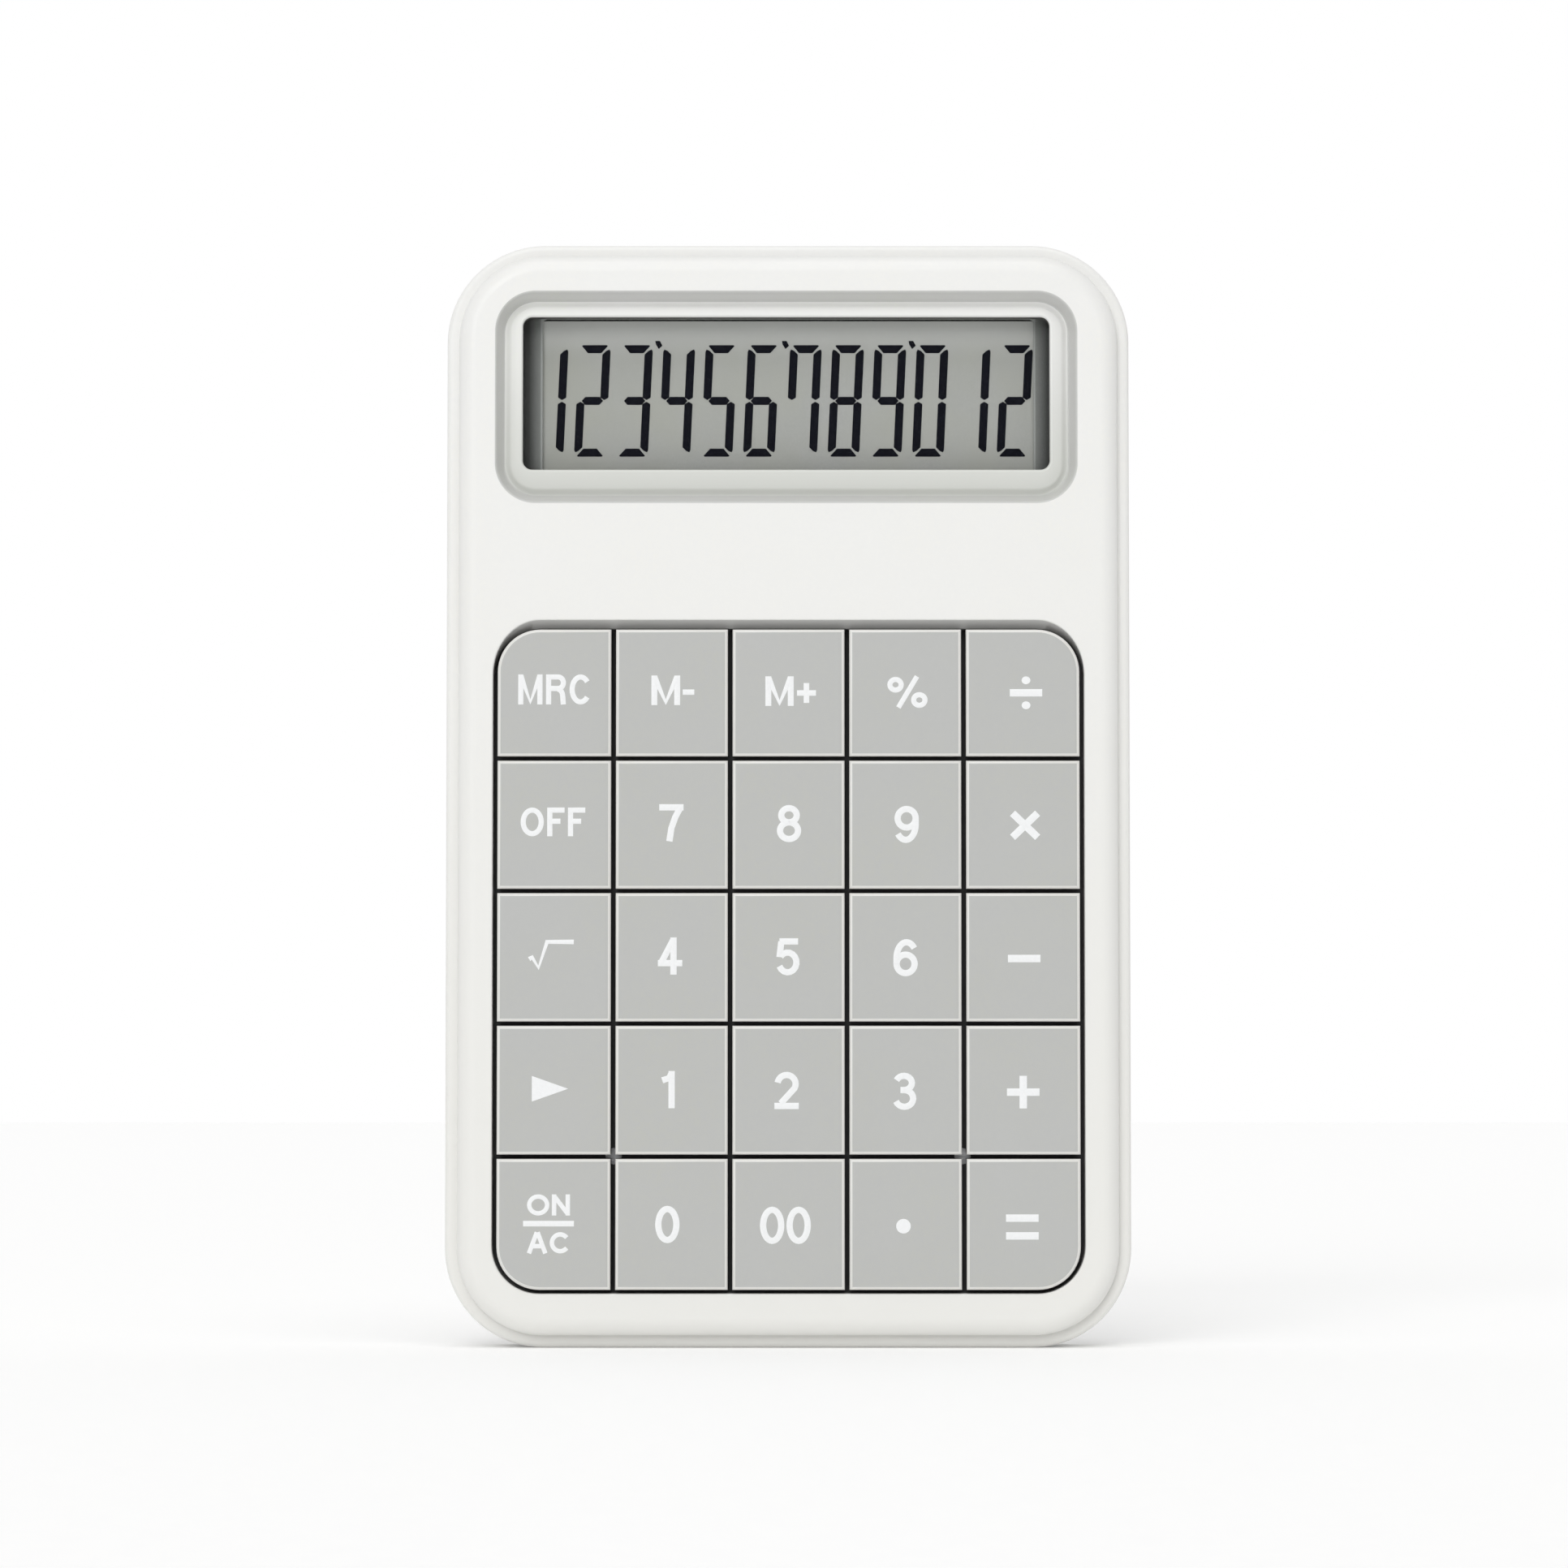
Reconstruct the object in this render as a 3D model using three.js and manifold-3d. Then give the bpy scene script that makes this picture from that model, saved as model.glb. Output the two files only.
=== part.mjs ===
// Pocket calculator with a twelve digit display and twenty-five sprung keys, in millimetres.
//
// Every piece is modelled lying on its back: x across, y up the length from the bottom edge to the
// display, z from the feet towards the keys. The last group stands it on its bottom edge, so that in
// the part's own frame +Z runs up the length, the keys face -Y and the origin is the middle of the base.
import * as THREE from "three";
import { mergeVertices } from "three/addons/utils/BufferGeometryUtils.js";
import Module from "manifold-3d";

const wasm = await Module();
wasm.setup();

// ---------------------------------------------------------------- driving dimensions

const WIDTH = 74.0; // across the case
const LENGTH = 119.4; // up the case
const CORNER = 10.6; // radius of the outline's corners
const THICKNESS = 12.6; // feet to key tops

const AIR = 0.1; // clearance between neighbours that meet face to face
const CUT = 1.0; // how far a cutting tool runs past the face it opens
const ROOT = 0.3; // how far a boss or rib starts inside the wall that carries it

// Rear case: a tray that the front case drops into.
const REAR = {
  back: 0.6, // outer back face
  floor: 2.2, // inner face of the back wall
  rim: 9.6, // top of the side wall
  wall: 1.2,
  backEdge: 1.5, // radius between back face and side wall
  rimEdge: 0.7, // radius of the rim's outer edge
};

// Front case: face plate with a skirt inside the rear case's wall.
const FRONT = {
  inset: REAR.wall + 0.15, // outline, in from the rear case's outline
  skirtWall: 1.4,
  skirtEnd: 6.2,
  underFace: 10.6,
  face: 12.2,
  shoulder: 1.8, // radius between face and skirt
};

// Display: a recess with sloped walls, and a window through its floor.
const DISPLAY_X = -0.2;
const RECESS = { width: 62.0, height: 22.7, y: 102.4, radius: 4.4, floor: 10.9, slope: 1.05, segments: 6 };
const WINDOW = { width: 56.4, height: 16.4, y: 102.7, radius: 1.0 };
const PAN = { wall: 1.4, under: 9.7 }; // the moulding under the recess
const LENS = { width: 60.4, height: 20.4, y: 102.7, z: [8.6, 9.6] };
const LCD_FRAME = { width: 60.4, height: 21.4, opening: [53.4, 17.6], z: [7.95, 8.45] };
const LCD_FILM = { width: 58.4, height: 19.4, z: [7.5, 7.8] };
const LCD_GLASS = { width: 59.6, y: [90.4, 113.2], ledge: 2.6, z: [5.65, 6.5, 7.4] };
const ZEBRA = { width: 52.0, y: [90.8, 92.4], z: [4.95, 6.4] };
const LENS_RIB = { wall: 0.8, end: 7.0, bottom: 94.5, topRoom: 0.6 };

// Keypad: five columns and five rows of caps that fill one opening.
const KEYPAD_X = 0.05;
const OPENING = { width: 63.7, y: [5.9, 77.5], slantTop: 78.3, radius: 5.1, rimWall: 1.2, rimEnd: 8.9 };
const COLUMN_PITCH = 12.57;
const ROW_PITCH = 14.27;
const ROW_JOIN_Y = 20.55; // the gap above the lowest row
const KEY = {
  columnGap: 0.5,
  rowGap: 0.45,
  sideGap: 0.5,
  bottomEdge: 6.3,
  topEdge: 77.3,
  corner: 0.6,
  edge: 0.45, // width of the bevel round the top
  edgeDrop: 0.3,
  underside: 11.0,
  skirtEnd: 9.9,
  skirtWall: 1.0,
  stem: 4.0,
  stemEnd: 6.7,
  barb: 0.4,
  barbTop: 7.5,
};
const KEY_NAMES = [
  ["key_recall", "key_memory_minus", "key_memory_plus", "key_percent", "key_divide"],
  ["key_off", "key_7", "key_8", "key_9", "key_multiply"],
  ["key_root", "key_4", "key_5", "key_6", "key_subtract"],
  ["key_backspace", "key_1", "key_2", "key_3", "key_add"],
  ["key_on_clear", "key_0", "key_00", "key_point", "key_equals"],
];

// Guide plate, rubber mat and circuit board, in order towards the back.
const GUIDE = { halfWidth: 33.8, y: [3.3, 86.0], radius: 7.4, z: [7.6, 8.6], slot: 4.3, bossEnd: 5.0 };
const MAT = { halfWidth: 31.5, y: [5.5, 78.5], z: [4.95, 5.4], radius: 4.0, bossHole: 2.7 };
const DOME = { foot: 3.0, crown: 1.8, top: 6.6, wall: 0.45, sides: 6 };
const BOARD = { halfWidth: 33.0, y: [4.2, 94.0], radius: 6.5, z: [3.85, 4.85] };

const BOARD_RIB = { half: 8.0, wall: 1.0, y: [28, 76], crossHalf: 24, crossY: 50 };
const GUIDE_LEDGE = { x: [12, 20], reach: 4.2, start: 6.6 };

// Fasteners.
const CASE_SCREW_TOP = [30.0, 85.0];
const CASE_SCREW_LOW = [18.85, ROW_JOIN_Y];
const BOARD_SCREW = [22.0, 82.5];
const SCREW = { head: 1.8, headHeight: 1.0, shank: 0.75, pilot: 0.9, clearance: 1.05, sides: 12 };
const CASE_SCREW = { underHead: 1.8, topEnd: 8.2, lowEnd: 8.1, counterbore: 2.1, counterboreEnd: 1.9 };
const BOSS = { rear: 2.8, front: 2.4, guide: 2.2, pilotEnd: 9.0, guidePilotEnd: 10.5 };
const BOARD_SCREW_Z = { underHead: 3.75, end: 10.2 };

// Battery: one button cell under a round cover that a coin turns.
const BATTERY = [12.0, 103.0];
const CELL = { radius: 5.8, z: [2.0, 5.1] };
const COVER = {
  radius: 7.2,
  z: [0.7, 1.9],
  ringInner: 6.2,
  ringEnd: 3.0,
  lugReach: 8.0,
  lugWidth: 3.4,
  lugStart: 2.35,
  hole: 7.4,
  notchReach: 8.2,
  notchWidth: 4.2,
  unlockTurn: Math.PI / 4,
  coinSlot: [9.0, 1.8, 0.6],
};
const WELL = { inner: 8.6, outer: 9.6, end: 3.4 };
const CONTACT = { under: 3.55, thick: 0.2, width: 3.0 };

const FOOT = { x: 28.5, y: [9.0, 109.5], radius: 3.5, height: 1.3, chamfer: 0.3, pocket: 3.65, sides: 20 };

const CASE_SEGMENTS = 8; // straight pieces in each corner of the case
const ROUND_SIDES = 28; // sides of the visible round pieces

// ---------------------------------------------------------------- materials

function plastic(color, roughness) {
  return new THREE.MeshStandardMaterial({ color, roughness, metalness: 0 });
}

function metal(color, roughness) {
  return new THREE.MeshStandardMaterial({ color, roughness, metalness: 1 });
}

const CASE_WHITE = plastic(0xf1f1ee, 0.5);
const KEY_GREY = plastic(0xc0c1bf, 0.45);
const FRAME_BLACK = plastic(0x3c3c3a, 0.6);
const LCD_GREY = plastic(0xa4a6a2, 0.35);
const GLASS_CLEAR = plastic(0xdfe6e4, 0.08);
const GUIDE_GREY = plastic(0x8d8f90, 0.6);
const MAT_GREY = plastic(0xb9bcc0, 0.8);
const BOARD_GREEN = plastic(0x2f6b3c, 0.55);
const EPOXY_BLACK = plastic(0x141414, 0.3);
const CERAMIC_TAN = plastic(0x8a6d4a, 0.5);
const RUBBER_DARK = plastic(0x2b2b2c, 0.85);
const STEEL = metal(0xb4b6b8, 0.35);
const NICKEL = metal(0xcfcfca, 0.25);

// ---------------------------------------------------------------- solids

// A closed geometry as a solid whose faces point out.
function solid(geometry) {
  geometry.deleteAttribute("normal");
  geometry.deleteAttribute("uv");
  const merged = mergeVertices(geometry, 1e-4);
  const index = merged.index.array;
  const kept = [];
  for (let i = 0; i < index.length; i += 3) {
    const [a, b, c] = [index[i], index[i + 1], index[i + 2]];
    if (a !== b && b !== c && c !== a) kept.push(a, b, c);
  }
  const build = (triVerts) =>
    new wasm.Manifold(
      new wasm.Mesh({ numProp: 3, vertProperties: merged.attributes.position.array, triVerts }),
    );
  const made = build(new Uint32Array(kept));
  return made.volume() > 0 ? made : build(new Uint32Array(kept.reverse()));
}

function unite(...solids) {
  return solids.reduce((whole, next) => whole.add(next));
}

// Outline of a rectangle from its low to its high corner, with a radius for each corner in turn from
// the low one, anticlockwise.
function roundedOutline([x0, y0], [x1, y1], radii, segments) {
  const corners = [
    [x0, y0, 1, 1, Math.PI],
    [x1, y0, -1, 1, 1.5 * Math.PI],
    [x1, y1, -1, -1, 0],
    [x0, y1, 1, -1, 0.5 * Math.PI],
  ];
  const points = [];
  corners.forEach(([x, y, sx, sy, start], n) => {
    const r = radii[n];
    for (let i = 0; i <= segments; i += 1) {
      const turn = start + (0.5 * Math.PI * i) / segments;
      points.push(new THREE.Vector2(x + sx * r + r * Math.cos(turn), y + sy * r + r * Math.sin(turn)));
    }
  });
  return points;
}

// Outline of the case, moved in by an inset.
function caseOutline(inset) {
  const r = CORNER - inset;
  const low = [-WIDTH / 2 + inset, inset];
  const high = [WIDTH / 2 - inset, LENGTH - inset];
  return roundedOutline(low, high, [r, r, r, r], CASE_SEGMENTS);
}

function centredOutline(x, y, width, height, radius, segments) {
  const low = [x - width / 2, y - height / 2];
  const high = [x + width / 2, y + height / 2];
  return roundedOutline(low, high, [radius, radius, radius, radius], segments);
}

// A straight slab of an outline between two heights.
function slab(outline, z0, z1) {
  const geometry = new THREE.ExtrudeGeometry(new THREE.Shape(outline), {
    depth: z1 - z0,
    bevelEnabled: false,
  });
  return solid(geometry.translate(0, 0, z0));
}

// A slab whose two end edges are rounded, or chamfered when there is one step.
function softSlab(outline, z0, z1, size, drop, steps) {
  const geometry = new THREE.ExtrudeGeometry(new THREE.Shape(outline), {
    depth: z1 - z0 - 2 * drop,
    bevelSize: size,
    bevelOffset: -size,
    bevelThickness: drop,
    bevelSegments: steps,
  });
  return solid(geometry.translate(0, 0, z0 + drop));
}

function box([x0, x1], [y0, y1], [z0, z1]) {
  const geometry = new THREE.BoxGeometry(x1 - x0, y1 - y0, z1 - z0);
  return solid(geometry.translate((x0 + x1) / 2, (y0 + y1) / 2, (z0 + z1) / 2));
}

// A solid of revolution about z, from a profile of radius and height that starts and ends on the axis.
function turned([x, y], profile, sides) {
  const points = profile.map(([r, z]) => new THREE.Vector2(r, z));
  const geometry = new THREE.LatheGeometry(points, sides);
  return solid(geometry.rotateX(Math.PI / 2).translate(x, y, 0));
}

function disc(at, radius, [z0, z1], sides) {
  return turned(at, [[0, z0], [radius, z0], [radius, z1], [0, z1]], sides);
}

// A straight foot between the first two heights, narrowing to a crown at the third.
function frustum(at, footRadius, crownRadius, [z0, z1, z2], sides) {
  return turned(at, [[0, z0], [footRadius, z0], [footRadius, z1], [crownRadius, z2], [0, z2]], sides);
}

function bothSides([x, y]) {
  return [[-x, y], [x, y]];
}

// ---------------------------------------------------------------- casings

function rearCase() {
  const outline = caseOutline(0);
  const tall = 2 * THICKNESS;
  const withBackEdge = softSlab(outline, REAR.back, tall, REAR.backEdge, REAR.backEdge, 4);
  const withRimEdge = softSlab(outline, REAR.back - tall, REAR.rim, REAR.rimEdge, REAR.rimEdge, 3);
  const hollow = slab(caseOutline(REAR.wall), REAR.floor, tall);
  let tray = withBackEdge.intersect(withRimEdge).subtract(hollow);

  const root = REAR.floor - ROOT;
  const boardUnderside = BOARD.z[0] - 1.5 * AIR;
  for (const at of bothSides(CASE_SCREW_TOP)) {
    tray = tray.add(disc(at, BOSS.rear, [root, BOARD.z[1] - AIR / 2], SCREW.sides));
  }
  for (const at of bothSides(CASE_SCREW_LOW)) {
    tray = tray.add(disc(at, BOSS.rear, [root, boardUnderside], SCREW.sides));
  }
  const { half, wall, y, crossHalf, crossY } = BOARD_RIB;
  for (const x of [-half, half]) {
    tray = tray.add(box([x - wall / 2, x + wall / 2], y, [root, boardUnderside]));
  }
  tray = tray.add(box([-crossHalf, crossHalf], [crossY, crossY + wall], [root, boardUnderside]));
  const well = disc(BATTERY, WELL.outer, [root, WELL.end], ROUND_SIDES);
  tray = tray.add(well.subtract(disc(BATTERY, WELL.inner, [root - CUT, WELL.end + CUT], ROUND_SIDES)));

  for (const at of [...bothSides(CASE_SCREW_TOP), ...bothSides(CASE_SCREW_LOW)]) {
    const { counterbore, counterboreEnd } = CASE_SCREW;
    const tool = unite(
      disc(at, counterbore, [REAR.back - CUT, counterboreEnd], SCREW.sides),
      disc(at, SCREW.clearance, [REAR.back, BOARD.z[1] + CUT], SCREW.sides),
    );
    tray = tray.subtract(tool);
  }
  for (const y of FOOT.y) {
    for (const at of bothSides([FOOT.x, y])) {
      tray = tray.subtract(disc(at, FOOT.pocket, [REAR.back - CUT, FOOT.height + AIR], FOOT.sides));
    }
  }
  const through = [REAR.back - CUT, REAR.floor + AIR];
  tray = tray.subtract(disc(BATTERY, COVER.hole, through, ROUND_SIDES));
  return tray.subtract(lugBar(COVER.notchReach, COVER.notchWidth, through, -COVER.unlockTurn));
}

// A bar through the battery's axis, turned by an angle: the shape of the cover's two lugs.
function lugBar(reach, width, [z0, z1], turn) {
  const geometry = new THREE.BoxGeometry(2 * reach, width, z1 - z0);
  geometry.rotateZ(turn);
  return solid(geometry.translate(BATTERY[0], BATTERY[1], (z0 + z1) / 2));
}

function frontCase() {
  const outline = caseOutline(FRONT.inset);
  const { shoulder, skirtEnd, underFace, face } = FRONT;
  const block = softSlab(outline, skirtEnd - 2 * shoulder, face, shoulder, shoulder, 5);
  const belowSkirt = slab(caseOutline(0), skirtEnd - 3 * shoulder, skirtEnd);
  const hollow = slab(caseOutline(FRONT.inset + FRONT.skirtWall), skirtEnd - CUT, underFace);
  let shell = block.subtract(belowSkirt).subtract(hollow);

  const inWall = underFace + ROOT;
  const { width, height, y, radius, floor, slope } = RECESS;
  const across = width + 2 * PAN.wall;
  const up = height + 2 * PAN.wall;
  const pan = centredOutline(DISPLAY_X, y, across, up, radius + PAN.wall, RECESS.segments);
  shell = shell.add(slab(pan, PAN.under, inWall));
  shell = shell.add(lensRibs());
  const { rimWall, rimEnd } = OPENING;
  shell = shell.add(slab(openingOutline(OPENING.y[1], -rimWall), rimEnd, inWall));

  for (const at of bothSides(CASE_SCREW_TOP)) {
    shell = shell.add(disc(at, BOSS.front, [BOARD.z[1] + AIR, inWall], SCREW.sides));
    shell = shell.subtract(disc(at, SCREW.pilot, [BOARD.z[1] - CUT, BOSS.pilotEnd], SCREW.sides));
  }
  for (const at of bothSides(BOARD_SCREW)) {
    shell = shell.add(disc(at, BOSS.front, [GUIDE.z[1] + AIR, inWall], SCREW.sides));
    shell = shell.subtract(disc(at, SCREW.pilot, [GUIDE.z[1] - CUT, BOSS.guidePilotEnd], SCREW.sides));
  }
  const ledgeY = [FRONT.inset + FRONT.skirtWall - ROOT, GUIDE_LEDGE.reach];
  const ledgeZ = [GUIDE_LEDGE.start, GUIDE.z[0] - AIR];
  const [ledgeNear, ledgeFar] = GUIDE_LEDGE.x;
  shell = shell.add(box([ledgeNear, ledgeFar], ledgeY, ledgeZ));
  shell = shell.add(box([-ledgeFar, -ledgeNear], ledgeY, ledgeZ));

  const recess = centredOutline(DISPLAY_X, y, width, height, radius, RECESS.segments);
  shell = shell.subtract(softSlab(recess, floor, face + 3, slope, face - floor, 1));
  const window = centredOutline(DISPLAY_X, WINDOW.y, WINDOW.width, WINDOW.height, WINDOW.radius, 3);
  shell = shell.subtract(slab(window, PAN.under - CUT, face));
  shell = shell.subtract(slab(openingOutline(OPENING.y[1], 0), rimEnd - CUT, face + CUT));
  const drop = face - underFace;
  const slant = OPENING.slantTop - OPENING.y[1];
  const mouth = openingOutline(OPENING.slantTop, 0);
  return shell.subtract(softSlab(mouth, underFace, face + 2 * drop, slant, drop, 1));
}

// Outline of the keypad opening up to a top edge, moved in by an inset.
function openingOutline(top, inset) {
  const half = OPENING.width / 2 - inset;
  const r = OPENING.radius - inset;
  return roundedOutline(
    [KEYPAD_X - half, OPENING.y[0] + inset],
    [KEYPAD_X + half, top - inset],
    [r, r, r, r],
    6,
  );
}

// Ribs that hold the lens, frame and glass at the left, right and top.
function lensRibs() {
  const { wall, end, bottom, topRoom } = LENS_RIB;
  const inner = [LENS.width / 2 + AIR, LENS.y + LENS.height / 2 + topRoom];
  const outer = [inner[0] + wall, inner[1] + wall];
  const z = [end, PAN.under + ROOT];
  return unite(
    box([DISPLAY_X - outer[0], DISPLAY_X - inner[0]], [bottom, outer[1]], z),
    box([DISPLAY_X + inner[0], DISPLAY_X + outer[0]], [bottom, outer[1]], z),
    box([DISPLAY_X - outer[0], DISPLAY_X + outer[0]], [inner[1], outer[1]], z),
  );
}

// ---------------------------------------------------------------- display

function displayBlock({ width, height, z }) {
  return slab(centredOutline(DISPLAY_X, LENS.y, width, height, 0.8, 2), z[0], z[1]);
}

function lcdFrame() {
  const [openWidth, openHeight] = LCD_FRAME.opening;
  const opening = centredOutline(0, LENS.y, openWidth, openHeight, 0.4, 2);
  return displayBlock(LCD_FRAME).subtract(slab(opening, LCD_FRAME.z[0] - CUT, LCD_FRAME.z[1] + CUT));
}

// Two panes; the front one reaches down past the rear one and carries the terminals on that ledge.
function lcdGlass() {
  const half = LCD_GLASS.width / 2;
  const [low, high] = LCD_GLASS.y;
  const [back, middle, front] = LCD_GLASS.z;
  return unite(
    box([-half, half], [low, high], [middle - 0.1, front]),
    box([-half, half], [low + LCD_GLASS.ledge, high], [back, middle]),
  );
}

function zebraStrip() {
  return box([-ZEBRA.width / 2, ZEBRA.width / 2], ZEBRA.y, ZEBRA.z);
}

// ---------------------------------------------------------------- keypad

// Low and high x of a column, and low and high y of a row counted from the top.
function columnSpan(column) {
  const middle = KEYPAD_X + (column - 2) * COLUMN_PITCH;
  const outer = OPENING.width / 2 - KEY.sideGap;
  const low = column === 0 ? KEYPAD_X - outer : middle - COLUMN_PITCH / 2 + KEY.columnGap / 2;
  const high = column === 4 ? KEYPAD_X + outer : middle + COLUMN_PITCH / 2 - KEY.columnGap / 2;
  return [low, high];
}

function rowSpan(row) {
  const joinBelow = ROW_JOIN_Y + (3 - row) * ROW_PITCH;
  const low = row === 4 ? KEY.bottomEdge : joinBelow + KEY.rowGap / 2;
  const high = row === 0 ? KEY.topEdge : joinBelow + ROW_PITCH - KEY.rowGap / 2;
  return [low, high];
}

function columnCentre(column) {
  return KEYPAD_X + (column - 2) * COLUMN_PITCH;
}

function rowCentre(row) {
  return ROW_JOIN_Y + (3.5 - row) * ROW_PITCH;
}

// Square post with a barb on two sides that snaps under the guide plate.
function keyStem([x, y]) {
  const half = KEY.stem / 2;
  const side = [
    [half - 0.2, KEY.stemEnd],
    [half, KEY.stemEnd + 0.15],
    [half + KEY.barb, KEY.barbTop],
    [half, KEY.barbTop],
    [half, KEY.underside + 0.3],
  ];
  const mirrored = side.map(([px, pz]) => [-px, pz]).reverse();
  const profile = [...side, ...mirrored].map(([px, pz]) => new THREE.Vector2(px, pz));
  const geometry = new THREE.ExtrudeGeometry(new THREE.Shape(profile), {
    depth: KEY.stem,
    bevelEnabled: false,
  });
  return solid(geometry.rotateX(Math.PI / 2).translate(x, y + half, 0));
}

// A cap with a bevelled top and a hollow skirt. The four corner keys follow the opening's corners.
function key(row, column) {
  const [x0, x1] = columnSpan(column);
  const [y0, y1] = rowSpan(row);
  const outerCorner = OPENING.radius - KEY.sideGap;
  const corners = [
    [4, 0],
    [4, 4],
    [0, 4],
    [0, 0],
  ];
  const radii = corners.map(([r, c]) => (r === row && c === column ? outerCorner : KEY.corner));
  const segments = Math.max(...radii) > KEY.corner ? 4 : 2;
  const outline = roundedOutline([x0, y0], [x1, y1], radii, segments);
  const cap = softSlab(outline, KEY.skirtEnd - 3 * KEY.edgeDrop, THICKNESS, KEY.edge, KEY.edgeDrop, 1);
  const below = box([x0 - CUT, x1 + CUT], [y0 - CUT, y1 + CUT], [KEY.stemEnd, KEY.skirtEnd]);
  const wall = KEY.skirtWall;
  const innerRadii = radii.map((r) => Math.max(r - wall, 0.3));
  const inner = roundedOutline([x0 + wall, y0 + wall], [x1 - wall, y1 - wall], innerRadii, 1);
  const hollow = slab(inner, KEY.skirtEnd - CUT, KEY.underside);
  return cap.subtract(below).subtract(hollow).add(keyStem([columnCentre(column), rowCentre(row)]));
}

function keyGuide() {
  const [y0, y1] = GUIDE.y;
  const [z0, z1] = GUIDE.z;
  const r = GUIDE.radius;
  const outline = roundedOutline([-GUIDE.halfWidth, y0], [GUIDE.halfWidth, y1], [r, r, 0.5, 0.5], 5);
  let plate = slab(outline, z0, z1);
  const half = GUIDE.slot / 2;
  for (let row = 0; row < 5; row += 1) {
    for (let column = 0; column < 5; column += 1) {
      const [x, y] = [columnCentre(column), rowCentre(row)];
      plate = plate.subtract(box([x - half, x + half], [y - half, y + half], [z0 - CUT, z1 + CUT]));
    }
  }
  plate = plate.subtract(caseBossRoom([z0 - CUT, z1 + CUT]));
  for (const at of [...bothSides(CASE_SCREW_LOW), ...bothSides(BOARD_SCREW)]) {
    plate = plate.add(disc(at, BOSS.guide, [GUIDE.bossEnd, z0 + 0.3], SCREW.sides));
    plate = plate.subtract(disc(at, SCREW.pilot, [GUIDE.bossEnd - CUT, z1 + CUT], SCREW.sides));
  }
  return plate;
}

// The two notches that a plate needs at its edges to clear the bosses of the upper case screws.
function caseBossRoom(z) {
  const [x, y] = CASE_SCREW_TOP;
  const room = BOSS.rear + 4 * AIR;
  const far = x + 2 * BOSS.rear;
  return unite(
    box([-far, room - x], [y - room, y + room], z),
    box([x - room, far], [y - room, y + room], z),
  );
}

// One rubber sheet with a hollow dome under every key.
function domeMat() {
  const [z0, z1] = MAT.z;
  const r = MAT.radius;
  const outline = roundedOutline([-MAT.halfWidth, MAT.y[0]], [MAT.halfWidth, MAT.y[1]], [r, r, r, r], 3);
  let mat = slab(outline, z0, z1);
  const { foot, crown, top, wall, sides } = DOME;
  for (let row = 0; row < 5; row += 1) {
    for (let column = 0; column < 5; column += 1) {
      const at = [columnCentre(column), rowCentre(row)];
      mat = mat.add(frustum(at, foot, crown, [z0 + AIR, z1, top], sides));
      mat = mat.subtract(frustum(at, foot - wall, crown - wall, [z0 - CUT, z1, top - wall], sides));
    }
  }
  for (const at of bothSides(CASE_SCREW_LOW)) {
    mat = mat.subtract(disc(at, MAT.bossHole, [z0 - CUT, z1 + CUT], SCREW.sides));
  }
  return mat;
}

// ---------------------------------------------------------------- electronics

function mainBoard() {
  const [y0, y1] = BOARD.y;
  const r = BOARD.radius;
  const outline = roundedOutline([-BOARD.halfWidth, y0], [BOARD.halfWidth, y1], [r, r, 1, 1], 4);
  let board = slab(outline, BOARD.z[0], BOARD.z[1]);
  const through = [BOARD.z[0] - CUT, BOARD.z[1] + CUT];
  board = board.subtract(caseBossRoom(through));
  for (const at of [...bothSides(CASE_SCREW_LOW), ...bothSides(BOARD_SCREW)]) {
    board = board.subtract(disc(at, SCREW.clearance, through, SCREW.sides));
  }
  return board;
}

// A chip under a drop of resin.
function controllerCap() {
  const z = BOARD.z[1] + AIR;
  const dome = [[4.6, 0], [4.2, 0.5], [3.0, 0.95], [1.4, 1.2], [0, 1.25]];
  return turned([-6, 84], [[0, z], ...dome.map(([r, up]) => [r, z + up])], 20);
}

function chipPart([x, y], [length, width, height]) {
  const z = BOARD.z[1] + AIR;
  return box([x - length / 2, x + length / 2], [y - width / 2, y + width / 2], [z, z + height]);
}

// ---------------------------------------------------------------- battery

function batteryCover() {
  const { radius, z, ringInner, ringEnd, lugReach, lugWidth, lugStart, coinSlot } = COVER;
  const plate = disc(BATTERY, radius, [z[0], ringEnd], ROUND_SIDES);
  const lugs = lugBar(lugReach, lugWidth, [lugStart, ringEnd], 0);
  const inside = disc(BATTERY, ringInner, [z[1], ringEnd + CUT], ROUND_SIDES);
  const [slotLength, slotWidth, slotDepth] = coinSlot;
  const slot = lugBar(slotLength / 2, slotWidth, [z[0] - CUT, z[0] + slotDepth], 0);
  return plate.add(lugs).subtract(inside).subtract(slot);
}

// A can with a smaller insulated cap on the side away from the cover.
function buttonCell() {
  const [z0, z1] = CELL.z;
  const r = CELL.radius;
  const can = [[0, z0], [r - 0.3, z0], [r, z0 + 0.3], [r, z1 - 0.6]];
  const cap = [[r - 0.7, z1 - 0.3], [r - 0.9, z1], [0, z1]];
  return turned(BATTERY, [...can, ...cap], ROUND_SIDES);
}

// Leaf that stands against the side of the cell.
function contactPlus() {
  const [x, y] = BATTERY;
  const leaf = x - CELL.radius - 0.2;
  const z = CONTACT.under;
  return unite(
    box([leaf - 2, leaf], [88, y - 4.6], [z, z + CONTACT.thick]),
    box([leaf - CONTACT.thick, leaf], [y - 5, y + 4], [z, CELL.z[1]]),
  );
}

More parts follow.
